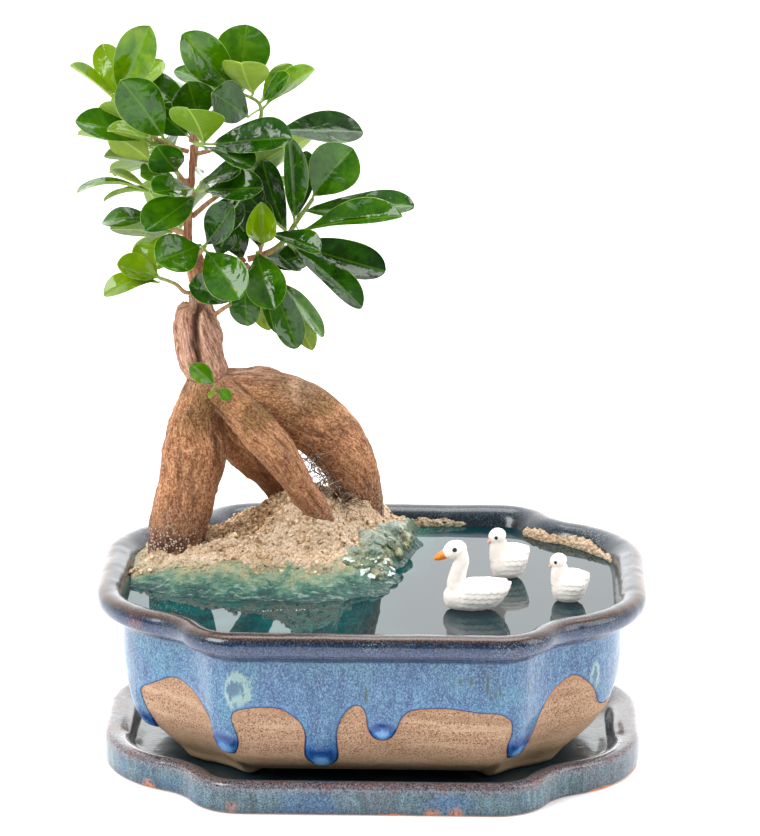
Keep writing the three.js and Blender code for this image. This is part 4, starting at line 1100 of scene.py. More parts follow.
def makeSand(name, wetUpTo):
    material = beginFinish(name)
    grain, small = useGroup(speckGroup, Scale=1000, Amount=0.4), useGroup(speckGroup, Scale=1900, Amount=0.4)
    patches, crumbs = noise(70, 4, 0.6, 0.5), cells(620)
    # wet and green where the resin has soaked in
    level = plus(height(), spread(patches, 0.3, 0.7, 0.002, -0.002))
    wet = calc("MAXIMUM", spread(level, wetUpTo * mm, (wetUpTo - 5) * mm), spread(layer("past"), 1, 5))
    sand = ramp(small["Grain"], [
        (0.3, 184, 154, 122), (0.46, 230, 202, 170), (0.6, 244, 220, 190), (0.75, 252, 238, 218),
    ])
    sand = coats(sand, [
        (spread(patches, 0.5, 0.66, 0.5), 204, 166, 130),
        (spread(patches, 0.45, 0.32, 0.5), 250, 222, 200),
        # painted shade: darker in the gaps between crumbs
        (spread(crumbs, 0.55, 0.85, 0.6), 120, 84, 56),
        # painted shade in the hollows between lumps, and painted light on their tops
        (spread(layer("lump"), -0.6, -3.4, 0.6), 128, 92, 64),
        (spread(layer("lump"), 1, 3.4, 0.4), 252, 230, 202),
        (times(grain["Specks"], 0.4), 150, 112, 78),
        (times(small["Specks"], 0.5), 104, 82, 60),
        (times(wet, 0.6), 136, 146, 108),
    ])
    relief = less(times(small["Grain"], 0.8), times(crumbs, 1.6))
    return endFinish(material, sand, spread(wet, 0, 1, 0.35, 0.9), (relief, 0.9, 0.95))


bankMesh = makeBankMesh()
grainMesh = makeGrains(bankMesh)
grainFinish = plainFinish("looseGrain", 420, 2, [
    (0.34, 104, 76, 52), (0.45, 186, 152, 110), (0.55, 220, 192, 152), (0.66, 238, 224, 200),
], 0.75)
makePiece("sand_heap", [bankMesh], [makeSand("coarseSand", 84)], ["sand_bank"])
makePiece("loose_grains", [grainMesh], [grainFinish], (), smooth=False)
print("sand heaped")


def makePoolMesh():
    top, bottom = poolShape["top"], poolShape["bottom"]
    first, last = shoreShare(np.zeros(1))[1:]
    spare = 0.3
    loop = [(share, top) for share in np.linspace(0, 1, 46)]
    loop += [(1, mix(top, bottom, t)) for t in (0.3, 0.7)]
    loop += [(share, bottom) for share in np.linspace(1, 0, 8)]
    loop += [(0, mix(bottom, top, t)) for t in (0.3, 0.7)]
    shares, levels = np.array(loop).T
    count = len(loop)

    def place(u, v):
        step = np.rint(u * count).astype(int) % count
        level = levels[step]
        angles = first - spare + (last - first + 2 * spare) * v
        outer = insideWall(angles, 12.0)
        outer = np.where(level > top - 1, outer, mix(insideWall(angles, 16.6), outer, 0.4))
        inner = np.minimum(bankReach(angles) - 2.5, outer - 0.4)
        away = mix(inner, outer, shares[step])
        x, y = fromMiddle(angles, away)
        z = level + 0.35 * smoothStep(1.6, 0, outer - away) * (level >= top)
        off = away - bankReach(angles)
        wander = 16 * cloud(stack(x, y, 0 * x), 30, 2)
        teal = np.maximum(smoothStep(34, -16, x + wander), smoothStep(30, 6, off + wander))
        return stack(x, y, z), {"offshore": off, "teal": teal}

    return wrapGrid(count, 330, place)


def makePool():
    material = beginFinish("clearTealResin")
    drift = noise(60, 4, 0.6, 1.0)
    streaks = noise(160, 4, 0.65, 1.5, at=stretched((1, 3, 1)))
    wave = noise(45, 2, 0.4, 0.3, at=stretched((1, 1.6, 1)))
    specks = useGroup(speckGroup, Scale=800, Amount=0.22)
    shallow = spread(plus(layer("offshore"), spread(drift, 0.3, 0.7, 8, -8)), 16, 0)
    deep = ramp(drift, [(0.3, 0, 44, 50), (0.5, 0, 60, 64), (0.7, 0, 82, 82)])
    pool = coats(blend(layer("teal"), colour(0, 36, 42), deep), [
        (shallow, ramp(streaks, [(0.35, 0, 76, 72), (0.55, 30, 106, 90), (0.7, 96, 144, 118)])),
        (times(specks["Specks"], times(shallow, 0.5)), 190, 204, 176),
    ])
    return endFinish(material, pool, spread(drift, 0.3, 0.8, 0.03, 0.015), (wave, 0.1, 0.15), {"IOR": 1.36})


makePiece("resin_pool", [makePoolMesh()], [makePool()], ["resin_water"])
print("resin poured")


# Surge of clear resin: where it lies, by distance out from the shore.
def makeSurgeMesh():
    first, last = shoreShare(np.zeros(1))[1:]
    loop = [(share, 1) for share in np.linspace(-0.42, 1, 44)] + [(0.6, 0), (0.2, 0), (-0.3, 0)]
    shares, upper = np.array(loop).T
    count = len(loop)

    def place(u, v):
        step = np.rint(u * count).astype(int) % count
        angles = mix(first, last, v)
        along = shoreShare(angles)[0]
        along = np.where(along < 0, len(bankShape["surge"]) - 1, along)
        reach, crest = surgeAt(along)
        flat = stack(np.cos(angles), np.sin(angles), 0 * angles) * 60
        reach = reach * (1 + 0.22 * cloud(flat, 9, 2) + 0.04 * cloud(flat, 3, 7))
        d = shares[step]
        away = bankReach(angles) + d * np.where(d < 0, 12, reach)
        away = np.minimum(away, insideWall(angles, 12.4) - 0.2)
        x, y = fromMiddle(angles, away)
        spots = stack(x, y, 0 * x)
        out = np.clip(d, 0, 1)
        broken = smoothStep(7.2, 9, along)
        high = crest * mix((1 - out) ** 1.5, smoothStep(1, 0.3, out), 0.7 * broken)
        folds = np.abs(cloud(spots, 7, 35)) + 0.6 * np.abs(cloud(spots, 3.2, 36)) - 0.5
        lumps = 1.3 * cloud(spots, 9, 31) + 0.5 * cloud(spots, 3.4, 32) + 0.2 * cloud(spots, 1.6, 33)
        lumps -= 2.6 * broken * folds
        high = high + lumps * smoothStep(0, 0.4, 1 - out) * np.minimum(1, crest / 9)
        high = np.maximum(high, 0.25 * (1 - out))
        behind = np.where(d < 0, -d / 0.42, 0)
        z = poolShape["top"] + np.where(upper[step] > 0, high - 4.5 * behind + 0.05, -0.4)
        return stack(x, y, z), {"offshore": d, "lump": lumps, "right": along}

    return wrapGrid(count, 420, place)


def makeSurgeFinish():
    material = beginFinish("surgedResin")
    out, lump, right = layer("offshore"), layer("lump"), layer("right")
    drift, fine = noise(120, 4, 0.65, 0.25), noise(520, 4, 0.7, 0.3)
    folds = noise(210, 3, 0.6, 0.3, at=stretched((1, 2, 1)))
    specks = useGroup(speckGroup, Scale=950, Amount=0.36)
    reach = plus(out, spread(drift, 0.3, 0.7, 0.3, -0.3))
    reach = less(reach, spread(lump, -1.5, 2, 0.12, -0.12))
    glassy = times(spread(right, 7.4, 8.6), spread(out, 0.8, 0.5, 0.8, 0.1))
    # painted highlight: paler on the crests of the lumps
    crestHighlight = times(spread(lump, 0.9, 2.2, 0.6), spread(right, 6.6, 9, 1, 0.3))
    # painted sheen: pale grey on the highest part of the broken surge
    clear = times(spread(height(), 0.085, 0.089), spread(right, 8.4, 9, 0.55))
    grit = times(specks["Specks"], spread(reach, 0.7, 0.2, 0.7, 0.05))
    broken = ramp(drift, [
        (0.38, 48, 84, 68), (0.47, 96, 122, 98), (0.54, 150, 152, 120), (0.62, 190, 178, 142),
    ])
    body = ramp(reach, [
        (0.0, 186, 168, 130), (0.14, 160, 160, 124), (0.3, 134, 152, 122), (0.46, 96, 132, 108),
        (0.62, 30, 96, 84), (0.85, 0, 60, 60), (1.0, 0, 66, 68),
    ])
    body = coats(body, [
        (spread(folds, 0.54, 0.66, 0.6), 150, 176, 158),
        # painted shade: darker in the sunk folds of the relief
        (spread(folds, 0.46, 0.34, 0.6), 34, 80, 68),
        (spread(fine, 0.54, 0.66, 0.3), 156, 178, 154),
        (glassy, broken),
        # painted highlight on the lump crests
        (crestHighlight, 178, 188, 168),
        # painted sheen on the glassy top
        (clear, 164, 180, 174),
        (grit, ramp(fine, [(0.45, 60, 62, 40), (0.55, 196, 182, 140)])),
    ])
    relief = plus(fine, times(folds, 3))
    return endFinish(material, body, spread(fine, 0.3, 0.7, 0.16, 0.03), (relief, 1.2, 0.9))


knobs = {"count": 44, "seed": 12, "from": 7.3, "to": 10.6, "reach": (-0.15, 0.72), "size": (2, 4.8)}


# Rounded knobs of resin heaped where the surge broke against the arched root.
def makeKnobs(surge):
    draw = np.random.default_rng(knobs["seed"])
    points, right, out = readRows(surge, "co"), readLayer(surge, "right"), readLayer(surge, "offshore")
    low, high = knobs["reach"]
    here = (right > knobs["from"]) & (right < knobs["to"]) & (out > low) & (out < high)
    here &= points[:, 2] > 0.0765
    balls = []
    for at in draw.choice(np.flatnonzero(here), knobs["count"]):
        size = draw.uniform(*knobs["size"]) * mm
        halves = (size, size * draw.uniform(0.7, 1), size * draw.uniform(0.6, 0.9))
        balls.append(ballAt(points[at] - (0, 0, size * 0.3), turned(draw.uniform(0, 6.3)), halves))
    mesh = strewBalls("knobs", balls, 4)
    points, normals = readRows(mesh, "co") / mm, readRows(mesh, "normal")
    rough = 0.5 - 1.4 * np.abs(cloud(points, 2.6, 3)) - 0.5 * np.abs(cloud(points, 1.1, 4))
    writePoints(mesh, (points + normals * rough[:, None]) * mm)
    setLayers(mesh, {"offshore": 0 * rough + 0.3, "lump": 2 * rough, "right": 0 * rough + 9})
    return mesh


splintersAndGlints = {
    "count": 62, "seed": 6, "from": 7.4, "to": 9.0, "size": (0.6, 3.2), "height": (77.5, 87),
    "sparkles": 22, "sparkle": [(-52, -40, 76.1), (-28, -38, 76.1)],
}


# White splinters frozen in the surge, where it broke against the arched root, and tiny white sparkles on the
# pool, which are painted glints.
def makeSplintersAndGlints(surge):
    draw = np.random.default_rng(splintersAndGlints["seed"])
    points, normals, right = readRows(surge, "co"), readRows(surge, "normal"), readLayer(surge, "right")
    low, high = splintersAndGlints["height"]
    here = (right > splintersAndGlints["from"]) & (right < splintersAndGlints["to"]) & (normals[:, 2] > 0.2)
    here &= (points[:, 2] > low * mm) & (points[:, 2] < high * mm)
    chosen = draw.choice(np.flatnonzero(here), splintersAndGlints["count"])
    spots = [(points[at], draw.uniform(*splintersAndGlints["size"])) for at in chosen]
    # painted glints: tiny white flecks set on the pool's surface
    start, end = (np.array(point, float) for point in splintersAndGlints["sparkle"])
    for _ in range(splintersAndGlints["sparkles"]):
        spot = mix(start, end, draw.uniform()) * mm
        spots.append((spot + draw.uniform(-1, 1, 3) * (0, 1.2, 0) * mm, draw.uniform(0.2, 0.5)))
    balls = []
    for point, size in spots:
        turn = turned(draw.uniform(-0.6, 0.6), "X") @ turned(draw.uniform(0, 6.3))
        balls.append(ballAt(point, turn, (size * mm, size * draw.uniform(0.25, 0.7) * mm, size * 0.25 * mm)))
    return strewBalls("splintersAndGlints", balls)


surgeMesh = makeSurgeMesh()
surgeAndKnobs = joinMeshes("surge", [surgeMesh, makeKnobs(surgeMesh)])
splinterAndGlintMesh = makeSplintersAndGlints(surgeAndKnobs)
splinterAndGlintFinish = plainFinish("milkyResinAndGlints", 500, 2, [(0.38, 150, 172, 160), (0.56, 226, 232, 226)], 0.12)
makePiece("resin_surge", [surgeAndKnobs], [makeSurgeFinish()], ["resin_splash"])
makePiece("resin_splinters_and_glints", [splinterAndGlintMesh], [splinterAndGlintFinish], (), smooth=False)

# Sand that dried on the wall just above the resin: turn seen from the bank's middle in degrees,
# inset from the pot's outline, half width, level and height.
drifts = [
    {"turn": (-3, 18), "inset": 12.6, "wide": 3, "level": 76.2, "high": 3.6},
    {"turn": (26, 37), "inset": 12, "wide": 4.4, "level": 76.4, "high": 3.4},
]


def driftMesh(drift):
    def place(u, v):
        angles = np.radians(mix(*drift["turn"], v))
        taper = np.sqrt(np.clip(1 - (2 * v - 1) ** 2, 0, 1))
        ring = 2 * math.pi * u
        wall = insideWall(angles, drift["inset"])
        spots = stack(wall * np.cos(angles), wall * np.sin(angles), 8 * np.cos(ring))
        rough = 1 + 0.7 * cloud(spots, 7, 2) + 0.5 * cloud(spots, 2.4, 4) + 0.3 * cloud(spots, 1.1, 5)
        x, y = fromMiddle(angles, wall + drift["wide"] * taper * rough * np.cos(ring))
        z = drift["level"] + drift["high"] * taper * rough * np.maximum(np.sin(ring), -0.15)
        return stack(x, y, z), {}

    return wrapGrid(28, 90, place)


makePiece("sand_drifts", [driftMesh(drift) for drift in drifts], [makeSand("driedSand", 78.5)], ())
print("surge set")


# Twigs are rows of x, y, z, radius. Each leaf is where its blade starts and ends, its width, the way
# its upper face looks, how far the blade arches back, how far its halves fold up (degrees), and its
# tone from 0, old and dark, to 1, young and yellow-green.
shoots = {
    "shoot_top_left": {
        "twigs": [[
            (-82.7, 33.8, 264, 1.1), (-90, 31, 267, 1.1), (-97, 29.5, 271, 1), (-104, 28, 278, 0.9),
            (-111, 27, 286, 0.8),
        ]],
        "leaves": [
            ((-112, 27, 287), (-133, 20, 305), 13, (6, -1.5, 8), 10, 20, 0.75),
            ((-113, 30, 289), (-120, 38, 311), 13, (-3, -10, 3), 10, 10, 0.8),
            ((-112, 26, 290), (-98, 20, 323), 18, (-2, -10, 2), 12, 25, 0.6),
            ((-111, 32, 288), (-94, 46, 302), 10, (0, -6, 8), 10, 10, 0.8),
            ((-93, 26, 272), (-110, 10, 301), 19, (2, -10, 3), 15, 12, 0.35),
            ((-99, 34, 268), (-132, 30, 278), 15, (0, -6, 9), 10, 15, 0.4),
            ((-100, 28, 274), (-122, 36, 283), 12, (-2, 7, 8), 15, 10, 0.5),
            ((-99, 24, 272), (-117, 18, 277), 11, (1, -3, 10), 25, 25, 0.8),
            ((-98, 30, 260), (-117, 30, 273), 13, (-5, 9, 5), 10, 10, 0.7),
            ((-86, 31, 266), (-99, 26, 268), 13, (0, -1.5, 10), 5, 10, 0.7),
        ],
    },
    "shoot_top": {
        "twigs": [[(-81, 35, 268.1, 1.3), (-81, 35, 270, 1.3), (-79, 34.5, 275, 1), (-76.5, 34, 280, 0.8)]],
        "leaves": [
            ((-77, 33, 278), (-82, 27, 297), 18, (0, -10, 3), 10, 15, 0.3),
            ((-75, 24, 270), (-80, 2, 290), 22, (1, 7, 7), 10, 8, 1.0),
            ((-83, 38, 270), (-96, 44, 280), 14, (2, -9, 4), 10, 10, 0.2),
            ((-81, 37, 279), (-106, 44.5, 296), 15, (2, -7, 7), 10, 15, 0.3),
            ((-72, 31, 268), (-36, 14, 275), 18, (0, -7, 7), 15, 20, 0.15),
            ((-76, 27, 268), (-53, 12, 262), 15, (1, -2.5, 9.7), 15, 15, 0.2),
        ],
    },
    "shoot_top_right": {
        "twigs": [[
            (-80, 37, 262, 1.1), (-74, 40, 263, 1.1), (-67, 42, 265, 1.1), (-56, 42, 271, 1),
            (-51, 41, 278, 0.9), (-52, 40, 285, 0.8), (-59, 39, 289, 0.7),
        ]],
        "leaves": [
            ((-62, 38, 290), (-84, 28, 318), 18, (-1, -10, 3.5), 12, 20, 0.45),
            ((-60, 41, 290), (-57, 44, 319), 22, (0, -10, 3), 10, 12, 0.45),
            ((-54, 34, 290), (-58, 15, 308), 19, (1, 7, 7), 10, 8, 0.6),
            ((-68, 36, 290), (-89, 40, 299), 12, (3, -3.5, 9), 10, 15, 0.4),
            ((-56, 33, 280), (-71, 18, 294), 17, (1, -9, 5), 10, 10, 0.2),
            ((-51, 46, 285), (-38, 56, 299), 10, (0, -5, 8), 10, 10, 0.6),
            ((-50, 42, 282), (-27, 36, 301), 13, (-4, -5, 8), 25, 20, 0.65),
            ((-50, 38, 286), (-38, 28, 300), 9, (-3, -7, 7), 10, 10, 0.4),
            ((-45, 46, 271), (-6, 52, 269), 18, (0.5, -6, 8), 12, 15, 0.1),
        ],
    },
    "shoot_right": {
        "twigs": [
            [
                (-57.2, 42.2, 213.2, 1.5), (-52, 43, 214.5, 1.4), (-45, 42.5, 218, 1.3), (-40, 42, 223, 1.2),
                (-36, 40, 230, 1.1), (-28, 38, 242, 0.9),
            ],
            [(-52, 43, 214.5, 1), (-51, 38, 219, 0.8), (-50, 35, 222, 0.6)],
        ],
        "leaves": [
            ((-28, 38, 243), (-10, 34, 266), 21, (-1, -10, 2.5), 10, 12, 0.35),
            ((-36, 36, 232), (-38, 24, 273), 16, (3, -9, 2), 12, 50, 0.3),
            ((-35, 44, 232), (-31, 50, 261), 12, (0, -10, 1), 10, 15, 0.1),
            ((-40, 48, 224), (-51, 54, 256), 13, (-3, -8, 5), 10, 15, 0.1),
            ((-32, 40, 236), (17, 30, 241), 17, (0, -5.5, 8.5), 12, 15, 0.25),
            ((-34, 36, 228), (12, 16, 240), 17, (0, -6, 8), 10, 40, 0.35),
            ((-38, 46, 220), (4, 46, 207), 17, (1, -7.5, 6.5), 12, 12, 0.05),
            ((-38, 40, 220), (-6, 28, 195), 15, (4.5, -6, 6.5), 10, 15, 0.1),
            ((-46, 34, 227), (-24, 22, 222), 13, (2, -6, 7.5), 10, 30, 0.25),
            ((-50, 47, 213), (-34, 56, 208), 15, (0, -5, 8), 10, 10, 0.1),
            ((-50, 36, 221), (-50, 26, 243), 17, (1, -10, 1), 8, 45, 0.75),
            ((-53, 37, 218), (-44, 18, 197), 17, (-1, -9, 4), 12, 15, 0.35),
            ((-52, 47, 217), (-56, 50, 240), 15, (1, -9, 4), 12, 12, 0.1),
            ((-48, 47, 232), (-66, 51, 250), 15, (-1, -9, 4), 12, 12, 0.06),
        ],
    },
    "shoot_low": {
        "twigs": [[
            (-58.2, 42.8, 210.8, 1.1), (-55, 44, 207.5, 1.1), (-50, 44.5, 205, 1), (-44, 47, 203, 0.8),
        ]],
        "leaves": [
            ((-48, 40, 205), (-35, 36, 174), 13, (2, -9, 3), 10, 20, 0.3),
            ((-51, 45, 203), (-39, 48, 177), 12, (1, -10, 1), 10, 10, 0.3),
            ((-43, 46, 202), (-24, 52, 175), 12, (9, -4, 3), 10, 15, 0.4),
            ((-42, 51, 199), (-29, 58, 167), 10, (0, 10, 2), 10, 10, 0.6),
            ((-55, 47, 205), (-48, 52, 178), 12, (0, 9, 3), 10, 10, 0.8),
            ((-59, 40, 208), (-57, 36, 184), 13, (-1, -9.5, 2), 10, 10, 0.3),
            ((-60, 46, 211), (-66, 47, 231), 12, (-1, -9, 4), 12, 12, 0.1),
            ((-48, 50, 208), (-30, 55, 213), 12, (1, -8, 6), 12, 12, 0.08),
        ],
    },
    "shoot_front": {
        "twigs": [[(-80.7, 32.4, 218, 1), (-78, 29, 219, 1), (-75.5, 27, 222, 0.8)]],
        "leaves": [
            ((-75, 27, 221), (-59, 8, 204), 18, (0, -8.5, 5), 12, 12, 0.35),
            ((-75, 28, 223), (-62, 20, 243), 15, (-2, -8, 6), 12, 15, 0.15),
            ((-77, 25, 224), (-95, 6, 221), 18, (-3, -9, 2.5), 15, 12, 0.4),
            ((-70, 31, 217), (-65, 32, 231), 10, (0, -10, 2), 10, 10, 0.1),
            ((-74, 40, 222), (-60, 44, 240), 14, (-3, -8, 5), 12, 12, 0.08),
        ],
    },
    "shoot_low_right": {
        "twigs": [[(-71.4, 33, 190, 1.1), (-68, 31, 193, 1), (-64, 29, 196, 0.9)]],
        "leaves": [((-64, 29, 197), (-82, 20, 207), 14, (0, -7, 7), 10, 15, 0.2)],
    },
    "shoot_left_high": {
        "twigs": [[(-82.9, 33.3, 251, 1.1), (-87, 32, 251, 1.1), (-93, 32, 249, 1), (-99, 32, 247, 0.9)]],
        "leaves": [
            ((-87, 29, 256), (-95, 14, 271), 15, (-2, -9, 4), 12, 12, 0.25),
            ((-88, 31, 252), (-103, 22, 256), 14, (0, -3.5, 9.5), 10, 10, 0.5),
            ((-100, 34, 247), (-118, 40, 253), 14, (2, 5, 8.5), 15, 10, 0.7),
            ((-100, 32, 246), (-131, 22, 248), 14, (0, 1.6, 10), 55, 10, 0.4),
            ((-99, 36, 245), (-121, 44, 239), 11, (0, 1, 10), 45, 20, 0.5),
        ],
    },
    "shoot_left": {
        "twigs": [[(-82, 32.4, 243, 1), (-81, 29.5, 245, 1), (-79, 27, 248, 0.8)]],
        "leaves": [
            ((-79, 26, 246), (-100, 8, 234), 18, (-3, -8, 5.5), 15, 12, 0.35),
            ((-80, 26, 249), (-96, 6, 252), 15, (-1, -7, 7), 15, 12, 0.35),
            ((-77, 27, 252), (-59, 20, 259), 13, (1, -5, 8.5), 10, 10, 0.1),
            ((-76, 27, 248), (-49, 16, 252), 15, (0, -6, 8), 15, 15, 0.15),
        ],
    },
    "shoot_left_low": {
        "twigs": [[(-83, 34.2, 199.5, 1), (-85.4, 33.5, 200.5, 1), (-89, 33, 204, 0.9), (-96, 32, 207, 0.8)]],
        "leaves": [
            ((-96, 32, 207), (-114, 26, 215), 12, (0, -8, 6), 20, 20, 0.7),
            ((-97, 34, 208), (-106, 40, 220), 10, (2, -10, 1), 15, 10, 0.8),
            ((-96, 31, 205), (-120, 26, 200), 11, (0, -5, 9), 70, 10, 0.8),
        ],
    },
    "shoot_left_back": {
        "twigs": [[(-85, 37, 226, 1), (-89, 38, 227, 1), (-95, 39, 230, 0.8)]],
        "leaves": [
            ((-96, 39, 232), (-122, 44, 229), 13, (0, -3, 9.5), 30, 10, 0.4),
            ((-88, 41, 225), (-101, 46, 209), 12, (-4, -8, 3), 10, 10, 0.8),
            ((-87, 41, 228), (-90, 49, 241), 10, (0, -10, 2), 10, 10, 0.7),
        ],
    },
}
sprout = {
    "twigs": [[(-70.2, 21.6, 158, 0.9), (-70.5, 20.2, 159.4, 0.9), (-71, 18.6, 161, 0.7)]],
    "leaves": [
        ((-71, 18.4, 162), (-81, 14, 172.4), 8.6, (-3, -9, 5), 12, 22, 0.5),
        ((-69.4, 19, 160), (-64, 17, 155.4), 5, (2, -8, 5), 15, 15, 0.5),
        ((-70.8, 18.6, 159.6), (-73.4, 16.5, 156.2), 2.4, (0, -8, 4), 10, 10, 1.0),
    ],
}

# Shoots at the back follow a rule: leaves spiral round each twig and lean towards its tip.
backShoots = {
    "shoot_back_left": {
        "seed": 11, "from": (-82.9, 37.5, 246.5), "heading": 129, "lift": 19, "length": 34, "leaves": 6,
    },
    "shoot_back_right": {
        "seed": 23, "from": (-81.1, 37.1, 234), "heading": 53, "lift": 10, "length": 44, "leaves": 7,
    },
    "shoot_back_top": {
        "seed": 37, "from": (-80.3, 37.6, 256.5), "heading": 80, "lift": 50, "length": 34, "leaves": 6,
    },
    "shoot_back_low": {
        "seed": 51, "from": (-82.7, 38, 222), "heading": 112, "lift": -3, "length": 30, "leaves": 5,
    },
}


def draws(seed):
    state = seed
    while True:
        state = state * 16807 % 2147483647
        yield state / 2147483647


def growBackShoot(rule):
    draw = draws(rule["seed"])
    h, l = math.radians(rule["heading"]), math.radians(rule["lift"])
    along = np.array([math.cos(h) * math.cos(l), math.sin(h) * math.cos(l), math.sin(l)])
    side = np.array([-math.sin(h), math.cos(h), 0])
    up = np.cross(along, side)
    start = np.array(rule["from"])

    def at(t):
        return start + along * rule["length"] * t + up * 3 * math.sin(math.pi * t)

    twig = [(*at(t), mix(1.3, 0.7, t)) for t in (0, 0.25, 0.5, 0.75, 1)]
    rows = []
    for i in range(rule["leaves"]):
        t = mix(0.35, 1, i / (rule["leaves"] - 1))
        spin = math.radians(137.5 * i + 40 * next(draw))
        out = side * math.cos(spin) + up * math.sin(spin)
        lean = math.radians(mix(62, 22, t) + 8 * next(draw))
        way = along * math.cos(lean) + out * math.sin(lean)
        neck = at(t) + way * 3.5
        blade = mix(26, 34, next(draw))
        face = along * 0.8 - out * 0.4 + np.array([0, 0, 0.8])
        width = blade * mix(0.46, 0.56, next(draw))
        curl, fold = mix(8, 22, next(draw)), mix(8, 20, next(draw))
        rows.append((neck, neck + way * blade, width, face, curl, fold, 0.15 + 0.09 * i))
    return {"twigs": [twig], "leaves": rows}


def nearestOn(twigs, point):
    best, bestAway = None, 1e9
    for twig in twigs:
        rows = np.array(twig)[:, :3]
        for a, b in zip(rows[:-1], rows[1:]):
            share = np.clip((point - a) @ (b - a) / ((b - a) @ (b - a)), 0, 1)
            found = a + share * (b - a)
            if np.linalg.norm(point - found) < bestAway:
                best, bestAway = found, np.linalg.norm(point - found)
    return best


leafShape = {
    "outline": [  # share of the length, share of the half width
        (0, 0.05), (0.06, 0.13), (0.16, 0.34), (0.3, 0.66), (0.45, 0.89), (0.6, 1), (0.74, 0.97),
        (0.85, 0.81), (0.93, 0.56), (0.975, 0.31), (1, 0.06),
    ],
    "fullness": 1.12, "thickness": 0.5, "stalk": 0.6, "around": 28, "along": 32, "stalkRows": 6,
}


def leafMesh(twigs, row, number):
    start, end, width, face, curl, fold, tone = row
    draw = np.random.default_rng(number * 7 + 3)
    base, tip = np.array(start, float), np.array(end, float)
    length = np.linalg.norm(tip - base)
    along = (tip - base) / length
    up = np.array(face, float)
    up = up - along * (up @ along)
    up = up / np.linalg.norm(up)
    across = np.cross(along, up)
    rise = length / 2 * math.tan(math.radians(curl) / 4)
    half = math.radians(fold)
    root = nearestOn(twigs, base)
    outline = smoothRows(leafShape["outline"], 6)
    wave, phase, bend = draw.uniform(0.5, 1.9), draw.uniform(0, 6.3), draw.uniform(-0.5, 0.5)
    cup, twist = draw.uniform(-0.2, 0.9), draw.uniform(-0.14, 0.14)
    total, stalkRows = leafShape["along"], leafShape["stalkRows"]
    slim = leafShape["stalk"] * min(1, width / 12)

    def place(u, v):
        rowAt = np.rint(v * total).astype(int)
        t = np.clip((rowAt - stalkRows) / (total - stalkRows), 0, 1)
        t = 0.5 * t + 0.5 * (0.5 - 0.5 * np.cos(math.pi * t))
        onStalk = rowAt < stalkRows
        share = np.clip(rowAt / stalkRows, 0, 1)
        middle = base + np.outer(t * length, along) + np.outer(4 * rise * t * (1 - t), up)
        stalk = root + np.outer(share, base - root) - np.outer(0.5 * np.sin(share * math.pi), up)
        middle = np.where(onStalk[:, None], stalk, middle)
        slope = np.arctan(4 * rise * (1 - 2 * t) / length)
        normal = np.outer(np.cos(slope), up) - np.outer(np.sin(slope), along)
        lean = twist * t
        side = np.outer(np.cos(lean), across) + normal * np.sin(lean)[:, None]
        normal = normal * np.cos(lean)[:, None] - np.outer(np.sin(lean), across)
        halfWidth = np.interp(t, *outline.T) * leafShape["fullness"] * width * math.cos(half) / 2
        ring = 2 * math.pi * u
        c = -np.cos(ring)
        topSide = np.sin(ring) >= 0
        blade = smoothStep(0, 0.1, t) * ~onStalk
        halfWidth = np.maximum(halfWidth, slim * (1 - t) ** 2 + 0.12)
        spanned = c * mix(slim, halfWidth, blade)
        flat = np.sqrt(np.clip(1.02 - c**4, 0, 1)) / np.maximum(np.abs(np.sin(ring)), 0.25)
        lift = np.sin(ring) * mix(slim, leafShape["thickness"] / 2, blade) * np.where(blade > 0.5, flat, 1)
        # the midrib, the fold, the cupped and waved margin, and the soft ribs
        lift += np.where(topSide, -0.28, -0.5) * np.exp(-((spanned / 0.75) ** 2)) * blade * (1 - 0.6 * t)
        lift += (np.abs(spanned) - 0.8 * (1 - np.exp(-np.abs(spanned) / 0.8))) * math.tan(half) * blade
        lift += blade * cup * np.abs(c) ** 3 * halfWidth * 0.16
        lift += blade * wave * 0.55 * np.sin(7 * t + phase + np.sign(c) * 0.9) * np.abs(c) ** 2
        lift += blade * 0.09 * np.sin(30 * (t - 0.16 * np.abs(c))) * (1 - np.abs(c)) * np.abs(c)
        middle = middle + side * (bend * 1.6 * np.sin(math.pi * t) * length / 30)[:, None]
        points = middle + side * spanned[:, None] + normal * lift[:, None]
        looks = stack(0 * u + tone, np.where(topSide, 0.0, 1.0), blade)
        return points, {"blade": stack(c, t, halfWidth), "looks": looks}

    return wrapGrid(leafShape["around"], total, place)


